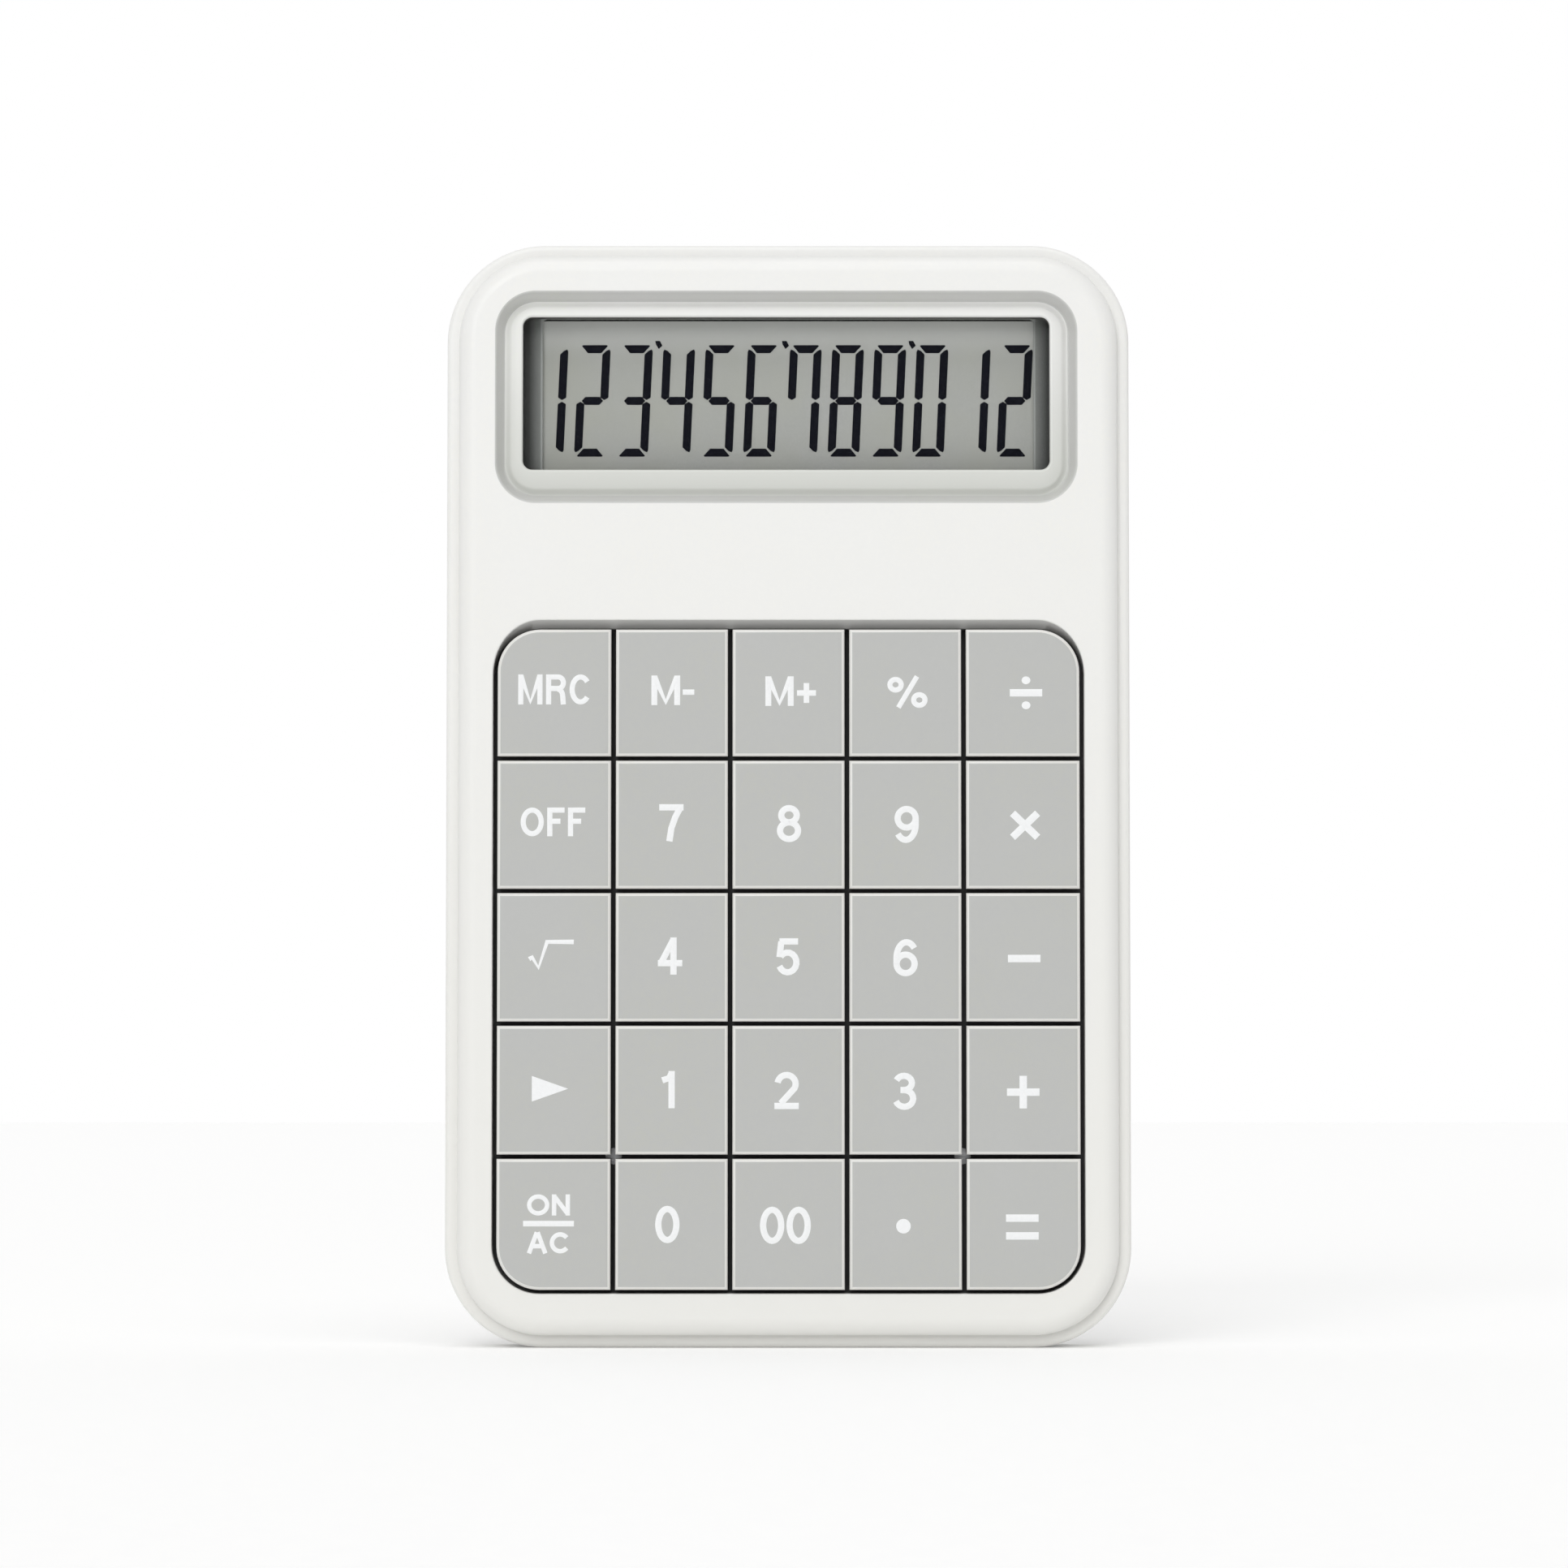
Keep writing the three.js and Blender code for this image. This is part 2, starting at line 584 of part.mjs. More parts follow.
// Spring strip that climbs from under the board's edge and presses on the middle of the cell.
function contactMinus() {
  const [x, y] = BATTERY;
  const low = CONTACT.under;
  const high = CELL.z[1] + AIR;
  const t = CONTACT.thick;
  const profile = [
    [88, low],
    [95.6, low],
    [97.0, high],
    [y + 2, high],
    [y + 2, high + t],
    [96.8, high + t],
    [95.4, low + t],
    [88, low + t],
  ].map(([py, pz]) => new THREE.Vector2(py, pz));
  const geometry = new THREE.ExtrudeGeometry(new THREE.Shape(profile), {
    depth: CONTACT.width,
    bevelEnabled: false,
  });
  // The profile's plane becomes y and z, and its depth runs along x.
  geometry.applyMatrix4(new THREE.Matrix4().set(0, 0, 1, 0, 1, 0, 0, 0, 0, 1, 0, 0, 0, 0, 0, 1));
  return solid(geometry.translate(x - CONTACT.width / 2, 0, 0));
}

// ---------------------------------------------------------------- fasteners and feet

// Screw with a pan head towards the back and a cross recess in it.
function screw(at, underHead, end) {
  const { head, headHeight, shank, sides } = SCREW;
  const headTop = underHead - headHeight;
  const body = turned(
    at,
    [
      [0, headTop],
      [head - 0.4, headTop],
      [head, headTop + 0.3],
      [head, underHead],
      [shank, underHead],
      [shank, end - 0.5],
      [0.2, end],
      [0, end],
    ],
    sides,
  );
  const [x, y] = at;
  const recess = [headTop - CUT, headTop + 0.5];
  const cross = unite(
    box([x - 1.1, x + 1.1], [y - 0.22, y + 0.22], recess),
    box([x - 0.22, x + 0.22], [y - 1.1, y + 1.1], recess),
  );
  return body.subtract(cross);
}

function foot(at) {
  const { radius, height, chamfer, sides } = FOOT;
  return turned(at, [[0, 0], [radius - chamfer, 0], [radius, chamfer], [radius, height], [0, height]], sides);
}

// ---------------------------------------------------------------- assembly

const flat = new THREE.Group();

function place(name, made, material) {
  const { numProp, vertProperties, triVerts } = made.getMesh();
  const positions = new Float32Array((vertProperties.length / numProp) * 3);
  for (let v = 0; v < positions.length / 3; v += 1) {
    positions.set(vertProperties.subarray(v * numProp, v * numProp + 3), v * 3);
  }
  const indexed = new THREE.BufferGeometry();
  indexed.setAttribute("position", new THREE.BufferAttribute(positions, 3));
  indexed.setIndex(new THREE.BufferAttribute(triVerts, 1));
  const geometry = indexed.toNonIndexed();
  geometry.computeVertexNormals();
  const mesh = new THREE.Mesh(geometry, material);
  mesh.name = name;
  flat.add(mesh);
}

place("rear_case", rearCase(), CASE_WHITE);
place("front_case", frontCase(), CASE_WHITE);

place("display_lens", displayBlock(LENS), GLASS_CLEAR);
place("lcd_frame", lcdFrame(), FRAME_BLACK);
place("lcd_film", displayBlock(LCD_FILM), LCD_GREY);
place("lcd_glass", lcdGlass(), GLASS_CLEAR);
place("zebra_strip", zebraStrip(), RUBBER_DARK);

KEY_NAMES.forEach((names, row) => {
  names.forEach((name, column) => place(name, key(row, column), KEY_GREY));
});
place("key_guide", keyGuide(), GUIDE_GREY);
place("dome_mat", domeMat(), MAT_GREY);

place("main_board", mainBoard(), BOARD_GREEN);
place("controller_cap", controllerCap(), EPOXY_BLACK);
place("capacitor_1", chipPart([6, 84], [3.2, 1.6, 1.2]), CERAMIC_TAN);
place("capacitor_2", chipPart([11, 84], [3.2, 1.6, 1.2]), CERAMIC_TAN);
place("resistor", chipPart([15.5, 84], [2.0, 1.2, 0.5]), EPOXY_BLACK);

place("battery_cover", batteryCover(), CASE_WHITE);
place("button_cell", buttonCell(), NICKEL);
place("contact_plus", contactPlus(), NICKEL);
place("contact_minus", contactMinus(), NICKEL);

bothSides(CASE_SCREW_TOP).forEach((at, n) => {
  place(`case_screw_${n + 1}`, screw(at, CASE_SCREW.underHead, CASE_SCREW.topEnd), STEEL);
});
bothSides(CASE_SCREW_LOW).forEach((at, n) => {
  place(`case_screw_${n + 3}`, screw(at, CASE_SCREW.underHead, CASE_SCREW.lowEnd), STEEL);
});
bothSides(BOARD_SCREW).forEach((at, n) => {
  place(`board_screw_${n + 1}`, screw(at, BOARD_SCREW_Z.underHead, BOARD_SCREW_Z.end), STEEL);
});
FOOT.y.forEach((y, pair) => {
  bothSides([FOOT.x, y]).forEach((at, n) => place(`foot_${2 * pair + n + 1}`, foot(at), RUBBER_DARK));
});

// Stand the calculator on its bottom edge, with its thickness centred on the origin.
flat.rotation.x = Math.PI / 2;
flat.position.y = THICKNESS / 2;

const calculator = new THREE.Group();
calculator.add(flat);

export default calculator;
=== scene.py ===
"""The looks of a pocket calculator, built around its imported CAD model.

Pieces are shaped lying flat, in millimetres: X across, Y up the length and Z out of the face,
with 0 at the back feet. They are then stood up into the row frame, in metres.
"""
from math import asin, cos, pi, radians, sin, tan

import bmesh
import bpy
from bpy.props import FloatProperty, FloatVectorProperty, IntProperty, PointerProperty, StringProperty
from bpy.types import Operator, Panel, PropertyGroup
from mathutils import Matrix, Vector


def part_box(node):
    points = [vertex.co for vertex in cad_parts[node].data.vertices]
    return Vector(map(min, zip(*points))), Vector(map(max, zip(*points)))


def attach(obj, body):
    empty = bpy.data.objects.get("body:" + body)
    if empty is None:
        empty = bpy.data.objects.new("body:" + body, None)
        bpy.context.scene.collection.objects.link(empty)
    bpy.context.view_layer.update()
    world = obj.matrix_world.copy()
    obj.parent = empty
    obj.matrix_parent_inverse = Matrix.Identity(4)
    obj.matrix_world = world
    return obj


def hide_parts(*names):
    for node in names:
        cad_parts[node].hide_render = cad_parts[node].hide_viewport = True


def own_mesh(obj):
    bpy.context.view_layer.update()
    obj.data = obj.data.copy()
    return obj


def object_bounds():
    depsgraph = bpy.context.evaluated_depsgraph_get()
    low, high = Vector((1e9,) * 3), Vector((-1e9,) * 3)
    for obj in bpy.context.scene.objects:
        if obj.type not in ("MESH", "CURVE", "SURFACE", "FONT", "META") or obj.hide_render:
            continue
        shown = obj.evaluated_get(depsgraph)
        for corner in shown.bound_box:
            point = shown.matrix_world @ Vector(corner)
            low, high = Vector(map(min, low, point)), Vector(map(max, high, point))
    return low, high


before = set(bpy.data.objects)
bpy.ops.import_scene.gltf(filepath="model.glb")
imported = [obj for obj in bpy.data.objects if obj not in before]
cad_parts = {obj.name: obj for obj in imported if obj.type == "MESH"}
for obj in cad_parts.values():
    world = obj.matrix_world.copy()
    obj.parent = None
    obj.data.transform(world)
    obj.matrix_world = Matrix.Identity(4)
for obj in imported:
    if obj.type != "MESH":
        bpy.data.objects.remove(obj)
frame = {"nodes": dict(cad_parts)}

bl_info = {
    "name": "Pocket calculator",
    "version": (1, 0, 0),
    "blender": (4, 5, 0),
    "location": "3D View > Sidebar > Calculator",
    "description": "Builds the visible pieces of a pocket calculator around its CAD frame",
    "category": "Object",
}

MM = 0.001
CAD_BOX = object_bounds()
HALF_DEPTH = CAD_BOX[1].y / MM
FLAT_TO_ROW = Matrix(((MM, 0, 0, 0), (0, 0, -MM, HALF_DEPTH * MM), (0, MM, 0, 0), (0, 0, 0, 1)))
HOLD = 0.05  # width of the flat strip kept beside each round edge, in millimetres
LENS_GAP = 0.05  # between the lens and the wall over it, in millimetres
MERGE = 0.001  # points closer than this become one, in millimetres
SMOOTH_LIMIT = radians(35)
KEY_CORNER_STEPS = 14
EDGE_STEPS = 5
FOOT_NODES = ("foot_1", "foot_2", "foot_3", "foot_4")
SCREW_NODES = ("case_screw_1", "case_screw_2", "case_screw_3", "case_screw_4")

KEY_ROWS = (
    ("key_recall", "key_memory_minus", "key_memory_plus", "key_percent", "key_divide"),
    ("key_off", "key_7", "key_8", "key_9", "key_multiply"),
    ("key_root", "key_4", "key_5", "key_6", "key_subtract"),
    ("key_backspace", "key_1", "key_2", "key_3", "key_add"),
    ("key_on_clear", "key_0", "key_00", "key_point", "key_equals"),
)


# Sizes and colours that a user would change.


def length(name, millimetres, description):
    """A length property that shows in the scene's units."""
    return FloatProperty(name=name, description=description, default=millimetres * MM,
                         unit="LENGTH", precision=5)


def colour(name, rgb, description):
    """A colour property, in linear light."""
    return FloatVectorProperty(name=name, description=description, default=rgb, size=3,
                               min=0, max=1, subtype="COLOR")


def count(name, number, description):
    """A whole number of steps."""
    return IntProperty(name=name, description=description, default=number, min=1, max=64)


class CalculatorCase(PropertyGroup):
    wall: length("Wall", 1.0, "Thickness of the front shell")
    shoulder: length("Shoulder", 1.8, "Radius between the face plate and the sides")
    corner: length("Corner", 10.6, "Corner radius of the outline seen from the front")
    skirt: length("Skirt", 3.6, "Height of the front shell's sides below the shoulder")
    rim_wall: length("Rim", 1.31, "Thickness of the rear shell's rim")
    rim_round: length("Rim round", 0.55, "Radius on the outside of the rim")
    back_round: length("Back round", 1.5, "Radius round the back")
    floor: length("Floor", 1.6, "Thickness of the back wall")
    foot_height: length("Foot height", 0.6, "How far the feet lift the back")
    seam_drop: length("Seam", 3.0, "Depth of the rim below the key tops")
    lip: length("Lip", 0.22, "Radius on the edges of the openings")
    arc_steps: count("Arc steps", 10, "Faces across the shoulder")
    corner_steps: count("Corner steps", 20, "Segments round each corner")


class CalculatorDisplay(PropertyGroup):
    side_room: length("Side room", 1.3, "Recess edge outside the lens, left and right")
    top_room: length("Top room", 1.2, "Recess edge above the lens")
    bottom_room: length("Bottom room", 1.5, "Recess edge below the lens")
    corner: length("Recess corner", 4.4, "Corner radius of the recess")
    depth: length("Recess depth", 1.3, "How deep the recess floor lies below the face")
    slope: length("Recess slope", 1.0, "How far the recess walls lean in")
    moat: length("Moat", 0.55, "How far the foot of the walls lies below the recess floor")
    moat_width: length("Moat width", 0.8, "Width of the rise from the foot of the walls to the floor")
    crest: length("Crest", 0.35, "How far the recess floor rises to the window")
    lap: length("Lens lap", 1.68, "How far the lens reaches under the floor, left and right")
    lap_above: length("Lens lap above", 1.56, "How far the lens reaches under the floor above")
    lap_below: length("Lens lap below", 2.26, "How far the lens reaches under the floor below")
    window_corner: length("Window corner", 1.0, "Corner radius of the window")
    window_lip: length("Window lip", 0.3, "Radius on the window's edge")
    digit_width: length("Digit width", 3.46, "Width of a digit")
    digit_height: length("Digit height", 12.2, "Height of a digit")
    digit_pitch: length("Digit pitch", 4.6, "From one digit to the next")
    digits_left: length("Digits left", 0.41, "How far the digits sit left of the middle")
    digits_down: length("Digits down", 0.08, "How far the digits sit below the middle")
    bar_rise: length("Bar thickness", 0.02, "How far the bars stand off the film")
    stroke: length("Stroke", 0.88, "Thickness of a digit's bars")
    gap: length("Gap", 0.15, "Clear line between two bars")
    slant: FloatProperty(name="Slant", description="How far the digits lean", default=radians(2.6),
                         subtype="ANGLE")
    reading: StringProperty(name="Reading", description="What the display shows",
                            default="123'456'789'012")


class CalculatorKeys(PropertyGroup):
    side_gap: length("Side gap", 0.5, "Between the outer keys and the opening")
    bottom_gap: length("Bottom gap", 0.4, "Between the bottom keys and the opening")
    top_gap: length("Top gap", 0.2, "Between the top keys and the wall behind them")
    opening_corner: length("Opening corner", 5.1, "Corner radius of the keypad opening")
    opening_slant: length("Opening slant", 0.8, "How far the top wall leans back")
    slant_depth: length("Slant depth", 1.05, "How deep the leaning part of the top wall goes")
    wall_depth: length("Wall depth", 3.3, "How deep the wall round the keys goes")
    outer_corner: length("Outer corner", 4.6, "Radius on the outer corner keys")
    skirt: length("Skirt", 2.4, "Height of a key's sides")
    stem: length("Stem", 4.0, "Width of a key's square stem")
    stem_lap: length("Stem lap", 0.2, "How far a stem reaches into its key")
    edge: length("Edge", 0.5, "Width of the rounded edge")
    edge_drop: length("Edge drop", 0.3, "Depth of the rounded edge")
    legend_rise: length("Legend thickness", 0.02, "How far the legends stand off the keys")
    digit_height: length("Legend digit height", 4.0, "Height of the key digits")
    digit_width: length("Legend digit width", 2.62, "Width of the key digits")
    digit_stroke: length("Legend digit stroke", 0.68, "Stroke of the key digits")
    letter_height: length("Letter height", 3.25, "Height of the key letters")
    letter_stroke: length("Letter stroke", 0.56, "Stroke of the key letters")
    sign_width: length("Sign width", 3.5, "Width of the plus, minus, times, divide and equals signs")
    sign_stroke: length("Sign stroke", 0.8, "Stroke of those signs")
    print_rise: length("Print rise", 0.36, "How far the first legend sits above its key's middle")
    across_drift: length("Drift across", 0.09, "How far the print drifts right and down at each column")
    down_drift: length("Drift down", 0.13, "How far the print drifts left at each row")
    drop_drift: length("Drop", 0.07, "How far the print drifts down at each row")


class CalculatorMat(PropertyGroup):
    corner: length("Mat corner", 4.0, "Corner radius of the rubber mat")
    sheet: length("Sheet", 0.45, "Thickness of the mat between the domes")
    foot: length("Dome foot", 3.0, "Radius of a dome at its foot")
    crown: length("Dome crown", 1.8, "Radius of a dome at its top")
    wall: length("Dome wall", 0.45, "Thickness of a dome")
    boss_hole: length("Boss hole", 2.7, "Radius of the holes round the screw bosses")
    keep: FloatProperty(name="Keep", description="What is left of a dome's height under a pressed key",
                        default=0.3, min=0.05, max=1)


class CalculatorBack(PropertyGroup):
    cover: length("Cover", 7.2, "Radius of the battery cover")
    cover_round: length("Cover round", 0.25, "Radius on the cover's edge")
    cover_top: length("Cover top", 1.9, "Height of the cover's disc over the back feet")
    plug: length("Plug", 5.9, "Radius of the plug on the cover's inside")
    plug_lap: length("Plug lap", 0.1, "How far the plug reaches into the cover's disc")
    lug_reach: length("Lug reach", 8.0, "How far the lugs reach from the cover's centre")
    lug_width: length("Lug width", 3.4, "Width of a lug")
    lug_height: length("Lug height", 2.75, "Height of the lugs' middle over the back feet")
    lug_thickness: length("Lug thickness", 0.5, "Thickness of a lug")
    hole_room: length("Hole room", 0.2, "Gap round the cover")
    notch_width: length("Notch width", 4.2, "Width of the two notches beside the cover")
    notch_reach: length("Notch reach", 8.2, "How far the notches reach from the centre")
    notch_turn: FloatProperty(name="Notch turn", description="Angle of the notches across the back",
                              default=radians(-45), subtype="ANGLE")
    slot_length: length("Coin slot length", 9.0, "Length of the coin slot")
    slot_width: length("Coin slot width", 1.8, "Width of the coin slot")
    slot_depth: length("Coin slot depth", 0.6, "Depth of the coin slot")
    small_round: length("Small round", 0.1, "Radius on the edges of the slot, bores and pockets")
    screw_head: length("Screw head", 1.8, "Radius of a screw head")
    head_height: length("Head height", 1.0, "Height of a screw head")
    head_round: length("Head round", 0.35, "Radius on a screw head's edge")
    cross_reach: length("Cross reach", 1.05, "How far a screw's cross reaches from its centre")
    cross_half: length("Cross width", 0.24, "Half the width of the cross's arms")
    cross_taper: length("Cross taper", 0.06, "How far the cross narrows inward")
    cross_depth: length("Cross depth", 0.55, "Depth of the cross")
    shank: length("Shank", 0.9, "Radius of a screw's shank")
    shank_lap: length("Shank lap", 0.1, "How far the shank reaches into its head")
    bore_room: length("Bore room", 0.3, "Gap round a screw head")
    bore_depth: length("Bore depth", 1.3, "Depth of a screw's counterbore")
    foot: length("Foot", 3.5, "Radius of a rubber foot")
    foot_round: length("Foot round", 0.3, "Radius on a foot's edge")
    pocket_room: length("Pocket room", 0.15, "Gap round a foot")
    pocket_depth: length("Pocket depth", 0.8, "Depth of a foot's pocket")


class CalculatorColours(PropertyGroup):
    case: colour("Case", (0.80, 0.80, 0.785), "White case plastic")
    key: colour("Key", (0.455, 0.46, 0.45), "Grey key tops")
    # Painted highlight: the pale rim stands in for the light caught on the keys' rounded edges.
    key_edge_highlight: colour("Key edge", (0.70, 0.695, 0.67), "Pale rim of the keys")
    # Painted shade: the near-black sides stand in for the shade in the gaps round the keys and the display
    # window.
    key_skirt_shade: colour("Key skirt", (0.05, 0.048, 0.045), "Dark sides of the keys")
    legend: colour("Legend", (0.83, 0.84, 0.845), "Printed legends")
    film: colour("Display film", (0.45, 0.46, 0.442), "Display background")
    bars: colour("Display bars", (0.003, 0.003, 0.008), "Display digits")
    frame: colour("Display frame", (0.11, 0.115, 0.11), "Dark frame round the display")


class CalculatorStudio(PropertyGroup):
    distance: length("Distance", 600.0, "From the camera to the face")
    height: length("Height", 30.0, "Height of the camera over the floor")
    aim_x: length("Aim across", -0.44, "Where the camera looks, across the face")
    aim_z: length("Aim up", 60.6, "Where the camera looks, up the face")
    frame_width: length("Frame width", 168.6, "Width of the picture at the face")
    front_lamp: FloatProperty(name="Front lamp", description="Strength of the lamp in front",
                              default=0.88)
    top_lamp: FloatProperty(name="Top lamp", description="Strength of the lamp above", default=1.0)
    table_light: FloatProperty(name="Table light", description="Light that comes up through the table",
                               default=0.08)
    backdrop: FloatProperty(name="Backdrop", description="Light of the white backdrop", default=0.74)
    room: FloatProperty(name="Room", description="Light of the room in front", default=0.42)
    floor_size: length("Floor", 2500.0, "Half the width of the floor")


def sizes(context, group):
    """One of the scene's property groups, whose lengths are in metres."""
    return getattr(context.scene, "calculator_" + group)


def mm(metres):
    """Metres to millimetres."""
    return metres / MM


# Mesh tools: everything is shaped flat, in millimetres.


def flat_box(node):
    """Lowest and highest corner of a CAD node at rest, lying flat, in millimetres."""
    low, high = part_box(node)
    return (Vector((low.x / MM, low.z / MM, HALF_DEPTH - high.y / MM)),
            Vector((high.x / MM, high.z / MM, HALF_DEPTH - low.y / MM)))


def face_of(bm, points, height):
    """A flat face through the given points."""
    return bm.faces.new([bm.verts.new((x, y, height)) for x, y in points])


def round_corners(bm, face, radii, segments):
    """Rounds the corners of a face, each by its own radius, 0 for a square one; returns the face."""
    corners = list(face.verts)
    for vert, radius in zip(corners, radii):
        if not radius:
            continue
        result = bmesh.ops.bevel(bm, geom=[vert], offset=radius, offset_type="OFFSET",
                                 segments=segments, profile=0.5, affect="VERTICES", material=-1,
                                 clamp_overlap=False)
        face = result["verts"][0].link_faces[0]
    return face


def rounded_face(bm, low, high, radius, height, segments):
    """A flat rectangle with four equal round corners."""
    points = ((low[0], low[1]), (high[0], low[1]), (high[0], high[1]), (low[0], high[1]))
    return round_corners(bm, face_of(bm, points, height), [radius] * 4, segments)


def disc_face(bm, centre, radius, height, segments):
    """A flat round face."""
    place = Matrix.Translation((centre[0], centre[1], height))
    made = bmesh.ops.create_circle(bm, cap_ends=True, radius=radius, segments=segments, matrix=place)
    return made["verts"][0].link_faces[0]


def face_along(face, up):
    """Makes a flat face point up out of the front, or down out of the back."""
    face.normal_update()
    if (face.normal.z > 0) != up:
        face.normal_flip()


def other_side(bm, face):
    """A copy of a flat face that points the other way."""
    copy = bmesh.ops.duplicate(bm, geom=[face])
    back = [g for g in copy["geom"] if isinstance(g, bmesh.types.BMFace)][0]
    back.normal_flip()
    return back


def box(bm, centre, size):
    """A box by its centre and size; returns its points."""
    matrix = Matrix.Translation(centre) @ Matrix.Diagonal((*size, 1))
    return bmesh.ops.create_cube(bm, size=1, matrix=matrix)["verts"]


def centre_of(node):
    """The middle of a CAD node's box."""
    low, high = flat_box(node)
    return (low + high) / 2


def step_in(bm, face, inward, along):
    """Insets a face and moves it along its normal."""
    bmesh.ops.inset_region(bm, faces=[face], thickness=inward, depth=along, use_boundary=True,
                           use_even_offset=True)


def turn_over(bm, face, inward, along, steps):
    """Carries a face up a wall and over a quarter round, onto the flat."""
    angles = [pi / 2 * i / steps for i in range(steps + 1)]
    for a, b in zip(angles, angles[1:]):
        step_in(bm, face, inward * (cos(a) - cos(b)), along * (sin(b) - sin(a)))
    step_in(bm, face, HOLD, 0)


def turn_down(bm, face, inward, along, steps):
    """Carries a face from the flat over a quarter round, into a wall."""
    step_in(bm, face, HOLD, 0)
    angles = [pi / 2 * i / steps for i in range(steps + 1)]
    for a, b in zip(angles, angles[1:]):
        step_in(bm, face, inward * (sin(b) - sin(a)), along * (cos(a) - cos(b)))


def open_face(bm, face):
    """Takes a face away and leaves its outline."""
    bmesh.ops.delete(bm, geom=[face], context="FACES_ONLY")


def open_edges(bm, height):
    """The open outlines at one height."""
    def at_level(edge):
        return edge.is_boundary and all(abs(v.co.z - height) < HOLD / 2 for v in edge.verts)
    return [e for e in bm.edges if at_level(e)]


def fill_level(bm, height):
    """Fills the flat area between the open outlines at one height."""
    bmesh.ops.triangle_fill(bm, edges=open_edges(bm, height), use_beauty=True, use_dissolve=False)


def plain_object(name, bm, materials):
    """Stands the flat mesh up in the row frame and makes it an object with the named materials."""
    bmesh.ops.transform(bm, matrix=FLAT_TO_ROW, verts=bm.verts)
    mesh = bpy.data.meshes.new(name)
    bm.to_mesh(mesh)
    bm.free()
    for material in materials:
        mesh.materials.append(bpy.data.materials[material])
    mesh.shade_smooth()
    mesh.set_sharp_from_angle(angle=SMOOTH_LIMIT)
    piece = bpy.data.objects.new(name, mesh)
    bpy.context.scene.collection.objects.link(piece)
    return piece


def thicken(piece, thickness):
    """Gives an open shell its wall, and keeps the finished mesh."""
    solid = piece.modifiers.new("wall", "SOLIDIFY")
    solid.thickness = thickness
    solid.offset = -1
    solid.use_even_offset = True
    evaluated = piece.evaluated_get(bpy.context.evaluated_depsgraph_get())
    mesh = bpy.data.meshes.new_from_object(evaluated)
    piece.modifiers.clear()
    piece.data = mesh
    mesh.set_sharp_from_angle(angle=SMOOTH_LIMIT)


def place(piece, body, slot=None, nodes=()):
    """Lets a piece move with a CAD body and stand for its nodes."""
    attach(piece, body)
    if nodes:
        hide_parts(*nodes)
    return piece


# Materials.


def new_material(name, roughness):
    """A material with object coordinates ready, and its node tree, shader and coordinates."""
    material = bpy.data.materials.new(name)
    material.use_nodes = True
    tree = material.node_tree
    shader = tree.nodes["Principled BSDF"]
    shader.inputs["Roughness"].default_value = roughness
    coords = tree.nodes.new("ShaderNodeTexCoord")
    return material, tree, shader, coords.outputs["Object"]


def noise(tree, coords, size, detail=2.0):
    """A noise pattern whose blotches are about the given size in millimetres."""
    node = tree.nodes.new("ShaderNodeTexNoise")
    node.inputs["Scale"].default_value = 1 / (size * MM)
    node.inputs["Detail"].default_value = detail
    tree.links.new(coords, node.inputs["Vector"])
    return node.outputs["Fac"]


def ramp(tree, factor, low, high):
    """Maps a pattern from 0..1 to a range of values."""
    node = tree.nodes.new("ShaderNodeMapRange")
    node.inputs["From Min"].default_value = 0.3
    node.inputs["From Max"].default_value = 0.7
    node.inputs["To Min"].default_value = low
    node.inputs["To Max"].default_value = high
    tree.links.new(factor, node.inputs["Value"])
    return node.outputs["Result"]


def mix_colours(tree, factor, first, second):
    """A colour between two colours or sockets."""
    node = tree.nodes.new("ShaderNodeMix")
    node.data_type = "RGBA"
    tree.links.new(factor, node.inputs["Factor"])
    for socket, value in ((node.inputs[6], first), (node.inputs[7], second)):
        if isinstance(value, bpy.types.NodeSocket):
            tree.links.new(value, socket)
        else:
            socket.default_value = (*value, 1)
    return node.outputs[2]


def paint(tree, shader, surface):
    """Gives the shader its colour."""
    tree.links.new(surface, shader.inputs["Base Color"])


def add_bump(tree, shader, factor, height, strength=1.0):
    """Gives the surface a fine relief, its height in millimetres."""
    bump = tree.nodes.new("ShaderNodeBump")
    bump.inputs["Strength"].default_value = strength
    bump.inputs["Distance"].default_value = height * MM
    tree.links.new(factor, bump.inputs["Height"])
    tree.links.new(bump.outputs["Normal"], shader.inputs["Normal"])


def shade(value, factor):
    """A colour made darker or paler."""
    return tuple(min(1.0, part * factor) for part in value)


def moulded_plastic(name, base, roughness, tint=(1.0, 0.995, 0.975), low=None):
    """Moulded plastic: a fine grain and faint clouds; low paints shade on it, darker from one node's top
    to its foot.
    """
    material, tree, shader, coords = new_material(name, roughness)
    warm = tuple(part * t for part, t in zip(base, tint))
    clouds = mix_colours(tree, ramp(tree, noise(tree, coords, 9.0), 0, 1), base, warm)
    specks = ramp(tree, noise(tree, coords, 0.5, 4), 0, 1)
    surface = mix_colours(tree, specks, clouds, shade(base, 0.985))
    # Painted shade: the colour darkens from the node's top down to its foot, where the light falls off.
    if low:
        node, factor = low
        foot, top = (corner.y for corner in flat_box(node))
        down = fade(tree, axis_value(tree, coords, "Z"), top, foot)
        surface = mix_colours(tree, down, surface, shade(warm, factor))
    paint(tree, shader, surface)
    gloss = ramp(tree, noise(tree, coords, 4.0), roughness - 0.04, roughness + 0.04)
    tree.links.new(gloss, shader.inputs["Roughness"])
    add_bump(tree, shader, noise(tree, coords, 0.3, 3), 0.004)
    return material


def rubber(name, base, roughness=0.75):
    """Matt rubber with a dusty bloom."""
    material, tree, shader, coords = new_material(name, roughness)
    bloom = ramp(tree, noise(tree, coords, 1.2, 5), 0, 1)
    paint(tree, shader, mix_colours(tree, bloom, base, shade(base, 1.35)))
    add_bump(tree, shader, noise(tree, coords, 0.25, 4), 0.02)
    return material


